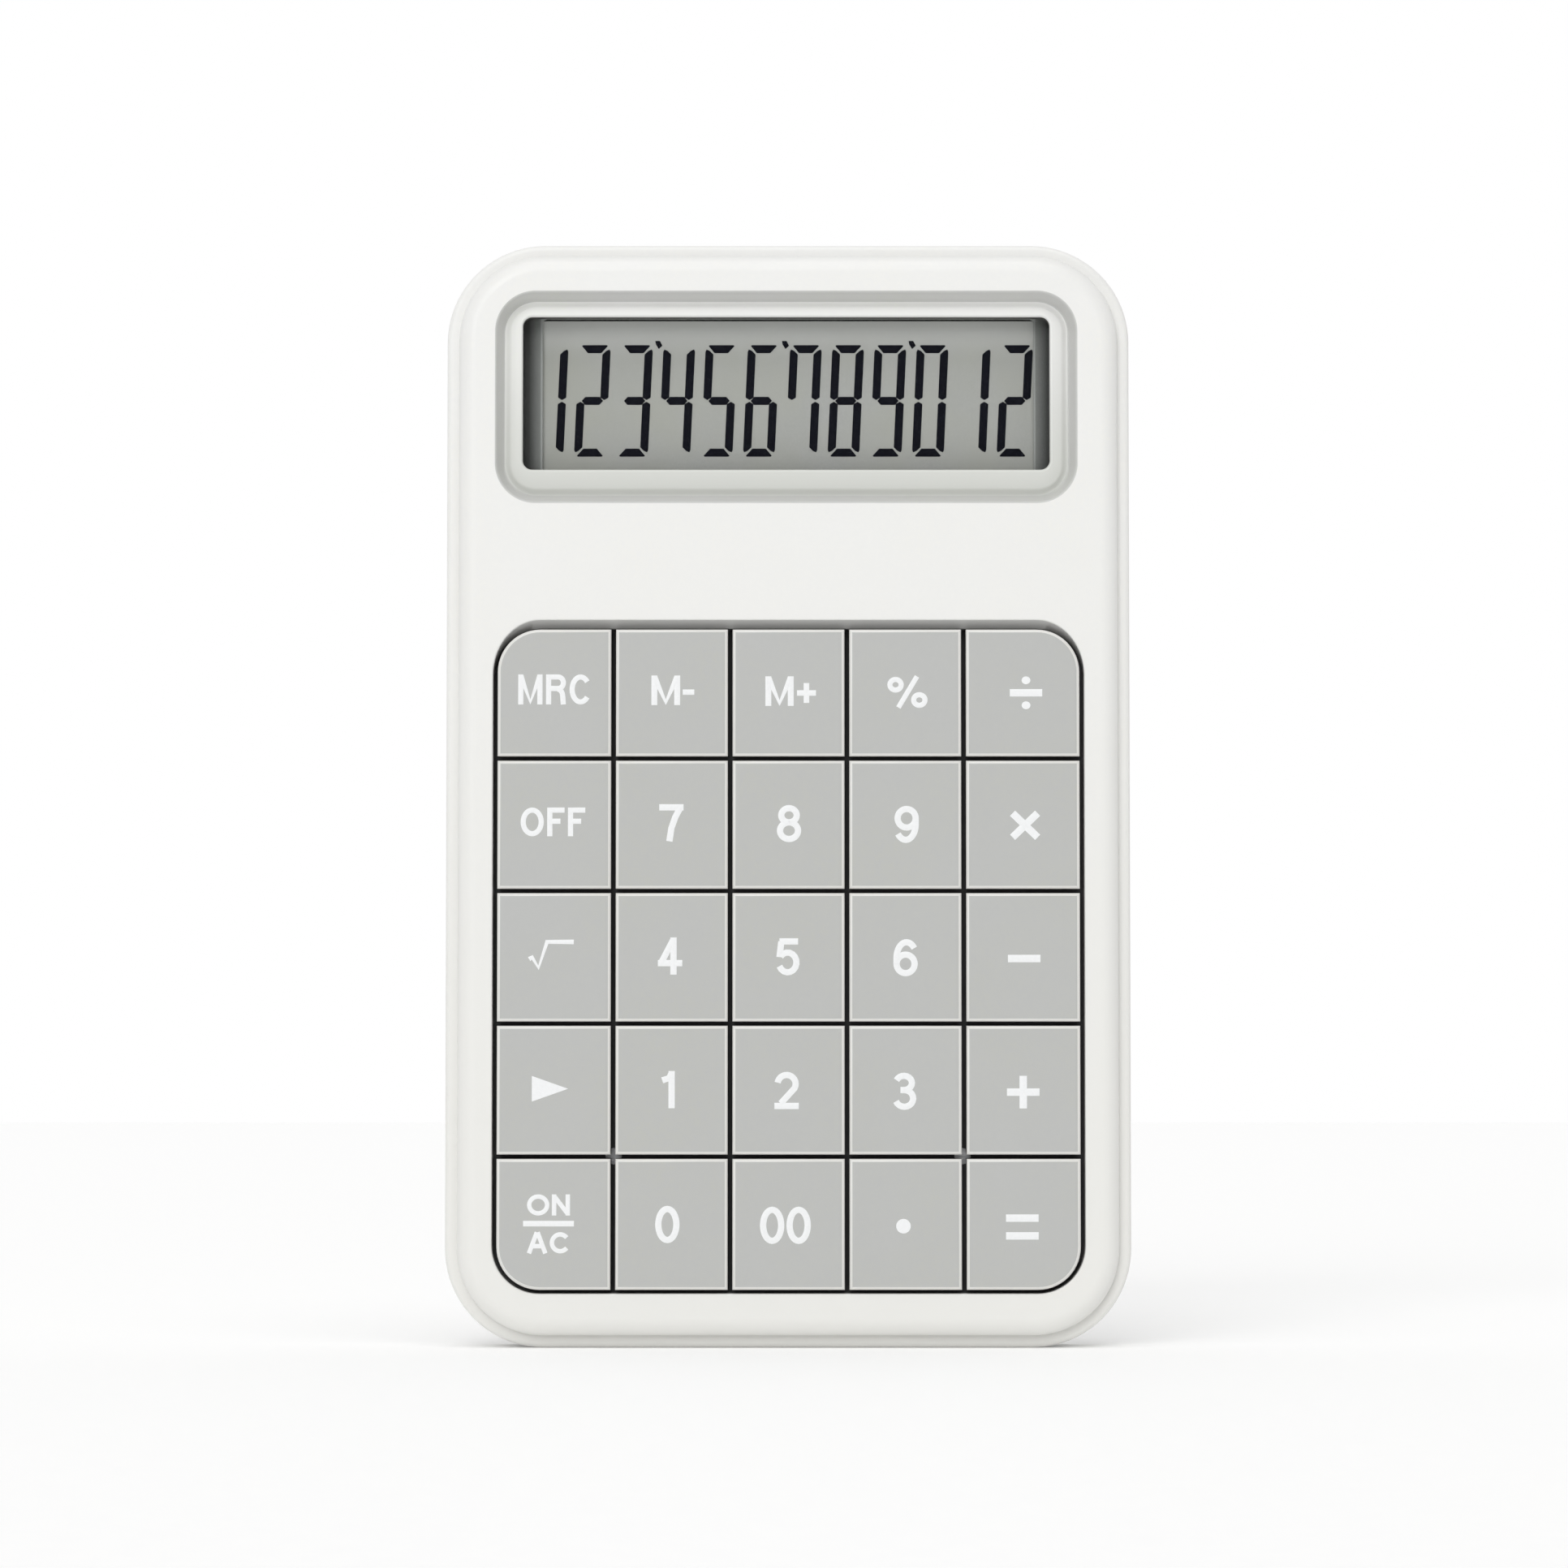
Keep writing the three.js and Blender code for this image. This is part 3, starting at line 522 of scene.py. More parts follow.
def clear_plastic(name):
    """Clear acrylic: almost all of what lies behind shows through."""
    material, tree, shader, coords = new_material(name, 0.05)
    shader.inputs["Base Color"].default_value = (0.04, 0.045, 0.045, 1)
    shader.inputs["Alpha"].default_value = 0.05
    shader.inputs["IOR"].default_value = 1.49
    shader.inputs["Specular IOR Level"].default_value = 0.05
    tree.links.new(ramp(tree, noise(tree, coords, 6.0, 4), 0.04, 0.09), shader.inputs["Roughness"])
    return material


def axis_value(tree, coords, axis):
    """One of the object coordinates."""
    parts = tree.nodes.new("ShaderNodeSeparateXYZ")
    tree.links.new(coords, parts.inputs["Vector"])
    return parts.outputs[axis]


def fade(tree, value, start, end, smooth=True):
    """0 at one place along an axis and 1 at another, in millimetres."""
    node = tree.nodes.new("ShaderNodeMapRange")
    node.interpolation_type = "SMOOTHSTEP" if smooth else "LINEAR"
    node.inputs["From Min"].default_value = start * MM
    node.inputs["From Max"].default_value = end * MM
    tree.links.new(value, node.inputs["Value"])
    return node.outputs["Result"]


def display_film(name, base):
    """The matt film behind the digits: silver grain, painted paler towards its top against the window's
    shadow, with a thin painted shadow line along its top.
    """
    material, tree, shader, coords = new_material(name, 0.5)
    shader.inputs["Specular IOR Level"].default_value = 0.1
    grain = ramp(tree, noise(tree, coords, 0.18, 3), 0, 1)
    clouds = ramp(tree, noise(tree, coords, 7.0), 0, 1)
    ground = mix_colours(tree, grain, shade(base, 0.96), shade(base, 1.04))
    warm = tuple(part * t for part, t in zip(base, (1.0, 1.0, 0.95)))
    ground = mix_colours(tree, clouds, ground, warm)
    height = axis_value(tree, coords, "Z")
    shadow_line_below_lens_top, shadow_line_soft = 1.62, 0.1
    # Painted light: the film is paler towards its top, cancelling the shade from the window's top wall.
    light_start, light_end = 4.5, 0.6
    top = flat_box("display_lens")[1].y - shadow_line_below_lens_top
    painted_light = fade(tree, height, top - light_start, top - light_end)
    ground = mix_colours(tree, painted_light, ground, shade(base, 1.35))
    # Painted shadow: a thin dark line along the film's top, under the window's top edge.
    shadow_line = fade(tree, height, top, top + shadow_line_soft)
    paint(tree, shader, mix_colours(tree, shadow_line, ground, shade(base, 0.05)))
    add_bump(tree, shader, noise(tree, coords, 0.2, 3), 0.003)
    return material


def display_border(name, base):
    """The dark border round the display: painted darker by the window's side walls as their shadow and
    paler towards its opening, with a bare inner edge.
    """
    material, tree, shader, coords = new_material(name, 0.6)
    shader.inputs["Specular IOR Level"].default_value = 0.2
    across = tree.nodes.new("ShaderNodeMath")
    across.operation = "ABSOLUTE"
    tree.links.new(axis_value(tree, coords, "X"), across.inputs[0])
    shadow_start, shadow_end = 28.2, 26.7
    bare_start, bare_end = 26.95, 26.85
    # Painted shadow: darker by the window's side walls, paler towards the opening.
    inward = fade(tree, across.outputs["Value"], shadow_start, shadow_end, smooth=False)
    bare = fade(tree, across.outputs["Value"], bare_start, bare_end)
    grain = ramp(tree, noise(tree, coords, 0.3, 3), 0, 1)
    pale = mix_colours(tree, grain, shade(base, 2.3), shade(base, 2.5))
    print_and_painted_shade = mix_colours(tree, inward, shade(base, 0.6), pale)
    paint(tree, shader, mix_colours(tree, bare, print_and_painted_shade, shade(base, 3.4)))
    return material


def ink(name, base, roughness=0.4, gloss=0.5):
    """Printed ink: dense, with a trace of grain."""
    material, tree, shader, coords = new_material(name, roughness)
    shader.inputs["Specular IOR Level"].default_value = gloss
    grain = ramp(tree, noise(tree, coords, 0.3, 4), 0, 1)
    paint(tree, shader, mix_colours(tree, grain, base, shade(base, 0.96)))
    add_bump(tree, shader, noise(tree, coords, 0.2, 3), 0.002)
    return material


def metal(name, base, roughness):
    """Plated metal with fine scratches along one way."""
    material, tree, shader, coords = new_material(name, roughness)
    shader.inputs["Metallic"].default_value = 1.0
    stretch = tree.nodes.new("ShaderNodeMapping")
    stretch.inputs["Scale"].default_value = (1.0, 1.0, 14.0)
    tree.links.new(coords, stretch.inputs["Vector"])
    lines = noise(tree, stretch.outputs["Vector"], 3.2, 5)
    tree.links.new(ramp(tree, lines, roughness - 0.08, roughness + 0.12), shader.inputs["Roughness"])
    tarnish = ramp(tree, noise(tree, coords, 3.0, 4), 0, 1)
    paint(tree, shader, mix_colours(tree, tarnish, base, shade(base, 0.82)))
    add_bump(tree, shader, lines, 0.01)
    return material


def circuit_board(name):
    """Green solder mask over a glass weave, with copper tracks showing through it."""
    material, tree, shader, coords = new_material(name, 0.35)
    tracks = tree.nodes.new("ShaderNodeTexBrick")
    tracks.inputs["Scale"].default_value = 1 / (9.0 * MM)
    tracks.inputs["Mortar Size"].default_value = 0.06
    tracks.inputs["Color1"].default_value = (0.012, 0.10, 0.045, 1)
    tracks.inputs["Color2"].default_value = (0.010, 0.085, 0.04, 1)
    tracks.inputs["Mortar"].default_value = (0.05, 0.22, 0.07, 1)
    tree.links.new(coords, tracks.inputs["Vector"])
    weave = ramp(tree, noise(tree, coords, 0.4, 3), 0, 0.3)
    paint(tree, shader, mix_colours(tree, weave, tracks.outputs["Color"], (0.02, 0.12, 0.05)))
    add_bump(tree, shader, tracks.outputs["Fac"], 0.03)
    return material


def striped_rubber(name):
    """Contact rubber with thin conducting stripes across it."""
    material, tree, shader, coords = new_material(name, 0.6)
    stripes = tree.nodes.new("ShaderNodeTexWave")
    stripes.inputs["Scale"].default_value = 1 / (1.2 * MM)
    tree.links.new(coords, stripes.inputs["Vector"])
    paint(tree, shader, mix_colours(tree, stripes.outputs["Fac"], (0.02, 0.02, 0.02), (0.45, 0.30, 0.26)))
    return material


def dress(material, *nodes):
    """Gives CAD nodes a finished material."""
    for node in nodes:
        piece = frame["nodes"][node]
        if not piece.material_slots:
            piece.data.materials.append(material)
        for slot in piece.material_slots:
            slot.material = material


# Front shell.


def keypad_outline(keys):
    """Lowest and highest corner of the keypad opening, from the keys in it."""
    lows, highs = zip(*(flat_box(node) for row in KEY_ROWS for node in row))
    side, below, above = mm(keys.side_gap), mm(keys.bottom_gap), mm(keys.top_gap)
    return ((min(low.x for low in lows) - side, min(low.y for low in lows) - below),
            (max(high.x for high in highs) + side, max(high.y for high in highs) + above))


def cut_keypad(bm, keys, case, face_height):
    """The keypad opening: a small lip, then a wall whose top leans back."""
    low, high = keypad_outline(keys)
    corner, slant, lip = mm(keys.opening_corner), mm(keys.opening_slant), mm(case.lip)
    face = rounded_face(bm, (low[0] - lip, low[1] - lip), (high[0] + lip, high[1] + lip),
                        corner + lip, face_height, case.corner_steps)
    before = set(bm.verts) - set(face.verts)
    turn_down(bm, face, lip - HOLD, -lip, EDGE_STEPS - 1)
    bend = high[1] - corner
    lean([v for v in bm.verts if v not in before], bend, corner, slant)
    ledge = mm(keys.slant_depth)
    step_in(bm, face, 0, -ledge)
    lean(face.verts, bend + slant, corner, -slant)
    step_in(bm, face, 0, -(mm(keys.wall_depth) - ledge - lip))
    open_face(bm, face)


def lean(verts, bend, corner, distance):
    """Moves points up the face by more and more, from a bend on."""
    for vert in verts:
        rise = (vert.co.y - bend) / corner
        if rise > 0:
            vert.co.y += distance * min(1.0, rise)


def display_outline(display):
    """Lowest and highest corner of the display recess, from the lens under it."""
    low, high = flat_box("display_lens")
    return ((low.x - mm(display.side_room), low.y - mm(display.bottom_room)),
            (high.x + mm(display.side_room), high.y + mm(display.top_room)))


def sink(bm, face, inward, along, steps):
    """Carries a face down a soft slope, level at both ends."""
    step_in(bm, face, HOLD, 0)
    parts = [i / steps for i in range(steps + 1)]
    for a, b in zip(parts, parts[1:]):
        step_in(bm, face, (inward - HOLD) / steps, -along * (ease(b) - ease(a)))


def ease(part):
    """0 to 1, level at both ends."""
    return part * part * (3 - 2 * part)


def cut_display(bm, display, case, face_height):
    """The display recess: soft walls, a moat, a floor that rises to the window, and the window."""
    low, high = display_outline(display)
    moat, moat_width = mm(display.moat), mm(display.moat_width)
    ground = face_height - mm(display.depth)
    brim = ground + mm(display.crest)
    outside = set(bm.faces)
    recess = rounded_face(bm, low, high, mm(display.corner), face_height, case.corner_steps)
    sink(bm, recess, mm(display.slope), mm(display.depth) + moat, case.arc_steps)
    walls = set(bm.faces) - outside - {recess}
    sink(bm, recess, moat_width, -moat, EDGE_STEPS)
    open_face(bm, recess)
    low, high = flat_box("display_lens")
    window_lip = mm(display.window_lip)
    laps = (display.lap, display.lap_above, display.lap_below)
    side, above, below = (mm(lap) - window_lip for lap in laps)
    window = rounded_face(bm, (low.x + side, low.y + below), (high.x - side, high.y - above),
                          mm(display.window_corner) + window_lip, brim, case.corner_steps)
    turn_down(bm, window, window_lip - HOLD, -window_lip, EDGE_STEPS)
    rounded = set(bm.faces)
    step_in(bm, window, 0, -(brim - window_lip - high.z - LENS_GAP))
    open_face(bm, window)
    # Painted shade: the recess walls get a darker copy of the case plastic, and the window's own wall a
    # near-black one.
    for face in set(bm.faces) - outside:
        face.material_index = RECESS if face in rounded else WINDOW_EDGE_SHADE
    ring_floor = bmesh.ops.bridge_loops(bm, edges=open_edges(bm, ground) + open_edges(bm, brim))
    for faces, index in ((walls, RECESS_WALL_SHADE), (ring_floor["faces"], RECESS)):
        for face in faces:
            face.material_index = index


SHELL_MATERIALS = ("case plastic", "recess plastic", "window edge painted shade", "recess wall painted shade")
CASE, RECESS, WINDOW_EDGE_SHADE, RECESS_WALL_SHADE = range(len(SHELL_MATERIALS))


class CALCULATOR_OT_front_shell(Operator):
    """Front casing: face plate, rounded shoulder, display recess and keypad opening"""
    bl_idname = "calculator.front_shell"
    bl_label = "Front shell"

    def execute(self, context):
        case = sizes(context, "case")
        low, high = flat_box("front_case")
        shoulder, skirt = mm(case.shoulder), mm(case.skirt)
        face_height = high.z
        corner = mm(case.corner) - (flat_box("rear_case")[1].x - high.x)
        bm = bmesh.new()
        plate = rounded_face(bm, low, high, corner, face_height - shoulder - skirt, case.corner_steps)
        step_in(bm, plate, 0, skirt)
        turn_over(bm, plate, shoulder, shoulder, case.arc_steps)
        open_face(bm, plate)
        cut_display(bm, sizes(context, "display"), case, face_height)
        cut_keypad(bm, sizes(context, "keys"), case, face_height)
        fill_level(bm, face_height)
        bmesh.ops.recalc_face_normals(bm, faces=bm.faces)
        piece = plain_object("front_shell", bm, SHELL_MATERIALS)
        thicken(piece, case.wall)
        place(piece, "case", "case_plastic", ["front_case"])
        return {"FINISHED"}


# Rear shell.


def notched_outline(centre, radius, reach, width, turn, steps=24):
    """Points of a round hole with two notches opposite each other."""
    near, far = asin(width / 2 / radius), asin(width / 2 / reach)
    points = []
    for side in (0, pi):
        arcs = ((radius, near - pi, -near, steps), (reach, -far, far, 2))
        for r, start, end, parts in arcs:
            for i in range(parts + 1):
                angle = turn + side + start + (end - start) * i / parts
                points.append((centre[0] + r * cos(angle), centre[1] + r * sin(angle)))
    return points


class CALCULATOR_OT_rear_shell(Operator):
    """Rear casing: a tray with its rim outside the seam, and the openings in its back"""
    bl_idname = "calculator.rear_shell"
    bl_label = "Rear shell"

    def execute(self, context):
        case, back = sizes(context, "case"), sizes(context, "back")
        low, high = flat_box("rear_case")
        back_round, rim_round = mm(case.back_round), mm(case.rim_round)
        foot_height = mm(case.foot_height)
        rim_height = 2 * HALF_DEPTH - mm(case.seam_drop)
        floor_height = foot_height + mm(case.floor)
        bm = bmesh.new()
        corner, steps = mm(case.corner), case.corner_steps
        lower = rounded_face(bm, low, high, corner, foot_height + back_round, steps)
        lower.normal_flip()
        turn_over(bm, lower, back_round, back_round, 8)
        open_face(bm, lower)
        upper = rounded_face(bm, low, high, corner, rim_height - rim_round, steps)
        turn_over(bm, upper, rim_round, rim_round, 6)
        step_in(bm, upper, mm(case.rim_wall) - rim_round - HOLD, 0)
        step_in(bm, upper, 0, -(rim_height - floor_height))
        open_face(bm, upper)
        sides = open_edges(bm, foot_height + back_round) + open_edges(bm, rim_height - rim_round)
        bmesh.ops.bridge_loops(bm, edges=sides)
        outline = notched_outline(centre_of("battery_cover"), mm(back.cover) + mm(back.hole_room),
                                  mm(back.notch_reach), mm(back.notch_width), back.notch_turn)
        through = face_of(bm, outline, foot_height)
        face_along(through, up=False)
        step_in(bm, through, 0, -(floor_height - foot_height))
        open_face(bm, through)
        pockets = ((SCREW_NODES, back.screw_head + back.bore_room, back.bore_depth),
                   (FOOT_NODES, back.foot + back.pocket_room, back.pocket_depth))
        for nodes, radius, depth in pockets:
            for node in nodes:
                blind_hole(bm, node, mm(radius), foot_height, mm(depth), mm(back.small_round))
        fill_level(bm, foot_height)
        fill_level(bm, floor_height)
        bmesh.ops.recalc_face_normals(bm, faces=bm.faces)
        piece = plain_object("rear_shell", bm, ["case plastic"])
        place(piece, "case", "case_plastic", ["rear_case"])
        return {"FINISHED"}


def blind_hole(bm, node, radius, height, depth, lip):
    """A round pocket with a small lip in the back, over a CAD node's centre."""
    face = disc_face(bm, centre_of(node), radius + lip, height, 40)
    face_along(face, up=False)
    turn_down(bm, face, lip - HOLD, -lip, 3)
    step_in(bm, face, 0, -(depth - lip))


# Keys.


KEY_MATERIALS = ("key face", "key edge highlight", "key skirt shade")
KEY_FACE, KEY_EDGE_HIGHLIGHT, KEY_SKIRT_SHADE = range(len(KEY_MATERIALS))


def key_radii(row, column, keys):
    """Corner radii of a key: lower left, lower right, upper right, upper left."""
    last_row, last_column = len(KEY_ROWS) - 1, len(KEY_ROWS[0]) - 1
    rounded = ((last_row, 0), (last_row, last_column), (0, last_column), (0, 0))
    return [mm(keys.outer_corner) if (row, column) == corner else 0 for corner in rounded]


def key_mesh(node, radii, keys):
    """A key cap: flat top, a rounded edge painted pale as its highlight, and a near-black skirt painted as
    the shade in the gaps, with its stem below.
    """
    low, high = flat_box(node)
    top = high.z - mm(keys.legend_rise)
    edge, drop, skirt = mm(keys.edge), mm(keys.edge_drop), mm(keys.skirt)
    skirt_foot = top - drop - skirt
    bm = bmesh.new()
    points = ((low.x, low.y), (high.x, low.y), (high.x, high.y), (low.x, high.y))
    face = round_corners(bm, face_of(bm, points, skirt_foot), radii, KEY_CORNER_STEPS)
    other_side(bm, face)
    step_in(bm, face, 0, skirt)
    turn_over(bm, face, edge - HOLD, drop, EDGE_STEPS)
    # Painted highlight on the rounded edge, painted shade on the skirt below it.
    for part in bm.faces:
        lowest = min(v.co.z for v in part.verts)
        if lowest > top - HOLD / 2:
            part.material_index = KEY_FACE
        elif lowest > top - drop - HOLD / 2:
            part.material_index = KEY_EDGE_HIGHLIGHT
        else:
            part.material_index = KEY_SKIRT_SHADE
    bmesh.ops.remove_doubles(bm, verts=bm.verts, dist=MERGE)
    stem, stem_top = mm(keys.stem), skirt_foot + mm(keys.stem_lap)
    middle = ((low.x + high.x) / 2, (low.y + high.y) / 2, (low.z + stem_top) / 2)
    for vert in box(bm, middle, (stem, stem, stem_top - low.z)):
        for part in vert.link_faces:
            part.material_index = KEY_SKIRT_SHADE
    return bm


class CALCULATOR_OT_keys(Operator):
    """The twenty-five key caps"""
    bl_idname = "calculator.keys"
    bl_label = "Keys"

    def execute(self, context):
        keys = sizes(context, "keys")
        for row, names in enumerate(KEY_ROWS):
            for column, node in enumerate(names):
                bm = key_mesh(node, key_radii(row, column, keys), keys)
                piece = plain_object(node.replace("key_", "keycap_"), bm, KEY_MATERIALS)
                place(piece, node + "_cap", "key_plastic", [node])
        return {"FINISHED"}


# Legends: pen strokes of one width, flattened onto the key tops.


def arc(cx, cy, rx, ry, start, end, steps=14):
    """Points along an ellipse, from one angle to another in degrees."""
    angles = [radians(start + (end - start) * i / steps) for i in range(steps + 1)]
    return [(cx + rx * cos(a), cy + ry * sin(a)) for a in angles]


def ring(cx, cy, rx, ry):
    """A closed ellipse; its first point isn't repeated."""
    return arc(cx, cy, rx, ry, 90, 450, 32)[:-1] + [None]


def turned(strokes):
    """Strokes turned half a turn about the middle."""
    return [[p and (-p[0], -p[1]) for p in stroke] for stroke in strokes]


def level(y, a, h):
    """A level stroke with square ends."""
    return [(-a - h, y), (a + h, y)]


def post(x, b, h):
    """An upright stroke with square ends."""
    return [(x, -b - h), (x, b + h)]


def six(a, b, h):
    """A 6: a ring at the foot and a hook over it."""
    bowl = 0.60 * b
    return [ring(0, bowl - b, a, bowl), [(-a, bowl - b), (-a, 0)] + arc(0.1 * a, 0, 1.1 * a, b, 178, 38)]


def three(a, b, h):
    """A 3: two open bowls and a short bar between them."""
    mid = 0.08 * b
    upper, lower = (b - mid) / 2, (b + mid) / 2
    return [arc(-0.06 * a, b - upper, 0.88 * a, upper, 158, -88),
            arc(-0.02 * a, lower - b, 0.98 * a, lower, 88, -160),
            [(-0.45 * a, mid), (0.1 * a, mid)]]


# Each sign's centre lines within -a..a and -b..b; h is half the stroke, for ends cut square.
SIGNS = {
    "0": lambda a, b, h: [ring(0, 0, a, b)],
    "O": lambda a, b, h: [ring(0, 0, a, b)],
    "o": lambda a, b, h: [ring(0, 0, a, b)],
    "1": lambda a, b, h: [post(0.32 * a, b, h),
                          [(0.3 * a, b + 0.2 * h), (0.02 * a, 0.74 * b), (-0.72 * a, 0.60 * b)]],
    "2": lambda a, b, h: [arc(0, 0.42 * b, a, 0.58 * b, 172, -28) + [(-a + h, -b + 0.8 * h)],
                          level(-b, a, h)],
    "3": three,
    "4": lambda a, b, h: [post(0.38 * a, b, h), level(-0.46 * b, a, h), [(0.3 * a, b), (-a, -0.46 * b)]],
    "5": lambda a, b, h: [[(-0.72 * a - 0.6 * h, b), (a + 0.4 * h, b)],
                          [(-0.72 * a, b), (-0.92 * a, -0.02 * b)],
                          arc(-0.02 * a, -0.36 * b, 0.98 * a, 0.64 * b, 142, -158)],
    "6": six,
    "7": lambda a, b, h: [level(b, a, h),
                          [(a, b), (0.42 * a, 0.35 * b), (0.0, -0.35 * b), (-0.22 * a, -b - h)]],
    "8": lambda a, b, h: [ring(0, 0.54 * b, 0.86 * a, 0.46 * b), ring(0, -0.46 * b, a, 0.54 * b)],
    "9": lambda a, b, h: turned(six(a, b, h)),
    "M": lambda a, b, h: [post(-a, b, h), post(a, b, h),
                          [(-a + 0.1 * h, b + 0.4 * h), (0, -b), (a - 0.1 * h, b + 0.4 * h)]],
    "R": lambda a, b, h: [post(-a, b, h),
                          [(-a, b), (0.3 * a, b)] + arc(0.3 * a, 0.54 * b, 0.7 * a, 0.46 * b, 88, -88)
                          + [(-a, 0.08 * b)],
                          arc(0.1 * a, -0.5 * b, 0.8 * a, 0.55 * b, 80, 0, 6) + [(a, -b - h)]],
    "C": lambda a, b, h: [arc(0.06 * a, 0, 1.06 * a, b, 38, 322, 28)],
    "F": lambda a, b, h: [post(-a, b, h), [(-a, b), (a + h, b)], [(-a, 0.06 * b), (0.75 * a, 0.06 * b)]],
    "N": lambda a, b, h: [post(-a, b, h), post(a, b, h), [(-a, b + 0.3 * h), (a, -b - 0.3 * h)]],
    "A": lambda a, b, h: [[(-a - 0.2 * h, -b - h), (-0.15 * h, b + h)],
                          [(a + 0.2 * h, -b - h), (0.15 * h, b + h)],
                          [(-0.6 * a, -0.4 * b), (0.6 * a, -0.4 * b)]],
    "-": lambda a, b, h: [level(0, a, h)],
    "+": lambda a, b, h: [level(0, a, h), post(0, b, h)],
    "x": lambda a, b, h: [[(-a, -b), (a, b)], [(-a, b), (a, -b)]],
    "=": lambda a, b, h: [level(b, a, h), level(-b, a, h)],
    "/": lambda a, b, h: [[(-a, -b), (a, b)]],
    "root": lambda a, b, h: [[(-a, -0.30 * b), (-0.86 * a, -0.16 * b), (-0.58 * a, -b + 0.3 * h),
                              (-0.2 * a, b), (a, b)]],
}


def digit(keys, name, x=0.0):
    """A digit as a sign."""
    return (name, x, 0, mm(keys.digit_width), mm(keys.digit_height), mm(keys.digit_stroke))


def word(letters, height, stroke, y=0.0):
    """Letters in a line: pairs of name and width, centred, 0.38 apart where they are 3.25 tall."""
    gap = 0.38 * height / 3.25
    total = sum(width for _, width in letters) + gap * (len(letters) - 1)
    x, signs = -total / 2, []
    for name, width in letters:
        signs.append((name, x + width / 2, y, width, height, stroke))
        x += width + gap
    return signs


def legends(keys):
    """What is printed on each key.

    Each sign is its name, the place of its centre from the group's middle, its outer width and
    height, and its stroke, in millimetres.
    """
    tall, pen = mm(keys.letter_height), mm(keys.letter_stroke)
    wide, bold = mm(keys.sign_width), mm(keys.sign_stroke)
    table = {
        "key_recall": word((("M", 2.62), ("R", 2.15), ("C", 2.28)), tall, pen),
        "key_memory_minus": [("M", -0.75, 0, 3.1, 3.2, 0.64), ("-", 1.7, -0.2, 1.25, 0.58, 0.58)],
        "key_memory_plus": [("M", -1.15, 0, 3.05, 3.2, 0.64), ("+", 1.75, -0.2, 2.05, 2.15, 0.6)],
        "key_percent": [("o", -1.31, 0.78, 1.78, 1.70, 0.56), ("o", 1.25, -0.87, 1.78, 1.70, 0.56),
                        ("/", 0, 0, 2.55, 3.9, 0.54)],
        "key_divide": [("-", 0, 0, wide, bold, bold), ("dot", 0, 1.35, 0.95, 0.85, 0),
                       ("dot", 0, -1.35, 0.95, 0.85, 0)],
        "key_off": word((("O", 2.5), ("F", 1.87), ("F", 1.87)), 3.1, pen),
        "key_multiply": [("x", 0, 0, wide, 3.4, bold)],
        "key_root": [("root", 0, 0, 5.3, 3.35, 0.5)],
        "key_subtract": [("-", 0, 0, wide, bold, bold)],
        "key_backspace": [("arrow", 0, 0, 3.9, 2.76, 0)],
        "key_add": [("+", 0, 0, wide, wide, bold)],
        "key_on_clear": (word((("O", 2.4), ("N", 1.95)), 2.27, 0.48, 2.0)
                         + [("-", 0, 0, 5.45, 0.6, 0.6)]
                         + word((("A", 2.15), ("C", 2.15)), 2.27, 0.48, -2.05)),
        "key_00": [digit(keys, "0", -1.42), digit(keys, "0", 1.42)],
        "key_point": [("dot", 0, 0, 1.57, 1.57, 0)],
        "key_equals": [("=", 0, 0, wide, 2.7, bold)],
    }
    for number in "0123456789":
        table["key_" + number] = [digit(keys, number)]
    return table


def stroke_mesh(bm, path, width):
    """Adds one pen stroke as a flat-lying tube of the given width."""
    closed = path[-1] is None
    points = [p for p in path if p is not None]
    curve = bpy.data.curves.new("stroke", "CURVE")
    curve.dimensions = "3D"
    curve.bevel_depth = width / 2
    curve.bevel_resolution = 2
    curve.use_fill_caps = True
    spline = curve.splines.new("POLY")
    spline.points.add(len(points) - 1)
    for target, point in zip(spline.points, points):
        target.co = (point[0], point[1], 0, 1)
    spline.use_cyclic_u = closed
    holder = bpy.data.objects.new("stroke", curve)
    mesh = bpy.data.meshes.new_from_object(holder)
    bm.from_mesh(mesh)
    bpy.data.objects.remove(holder)
    bpy.data.curves.remove(curve)
    bpy.data.meshes.remove(mesh)


def sign_mesh(bm, name, x, y, width, height, stroke):
    """Adds one sign of a legend to a flat mesh of half thickness 1, or a little less."""
    before = set(bm.verts)
    half, solid = stroke / 2, 1.6
    flatten = 1
    if name == "dot":
        bmesh.ops.create_cone(bm, cap_ends=True, radius1=0.5, radius2=0.5, depth=solid, segments=28,
                              matrix=Matrix.Diagonal((width, height, 1, 1)))
    elif name == "arrow":
        # A triangle in a circle of radius 1 is 1.5 by the root of 3, its middle 0.25 from the centre.
        turn = Matrix.Rotation(-pi / 2, 4, "Z")
        stretch = Matrix.Diagonal((width / 1.5, height / 3 ** 0.5, 1, 1))
        bmesh.ops.create_cone(bm, cap_ends=True, radius1=1, radius2=1, depth=solid, segments=3,
                              matrix=stretch @ Matrix.Translation((-0.25, 0, 0)) @ turn)
    else:
        for path in SIGNS[name](width / 2 - half, height / 2 - half, half):
            stroke_mesh(bm, path, stroke)
        flatten = 1 / half
    new = [v for v in bm.verts if v not in before]
    put = Matrix.Translation((x, y, 0)) @ Matrix.Diagonal((1, 1, flatten, 1))
    bmesh.ops.transform(bm, matrix=put, verts=new)


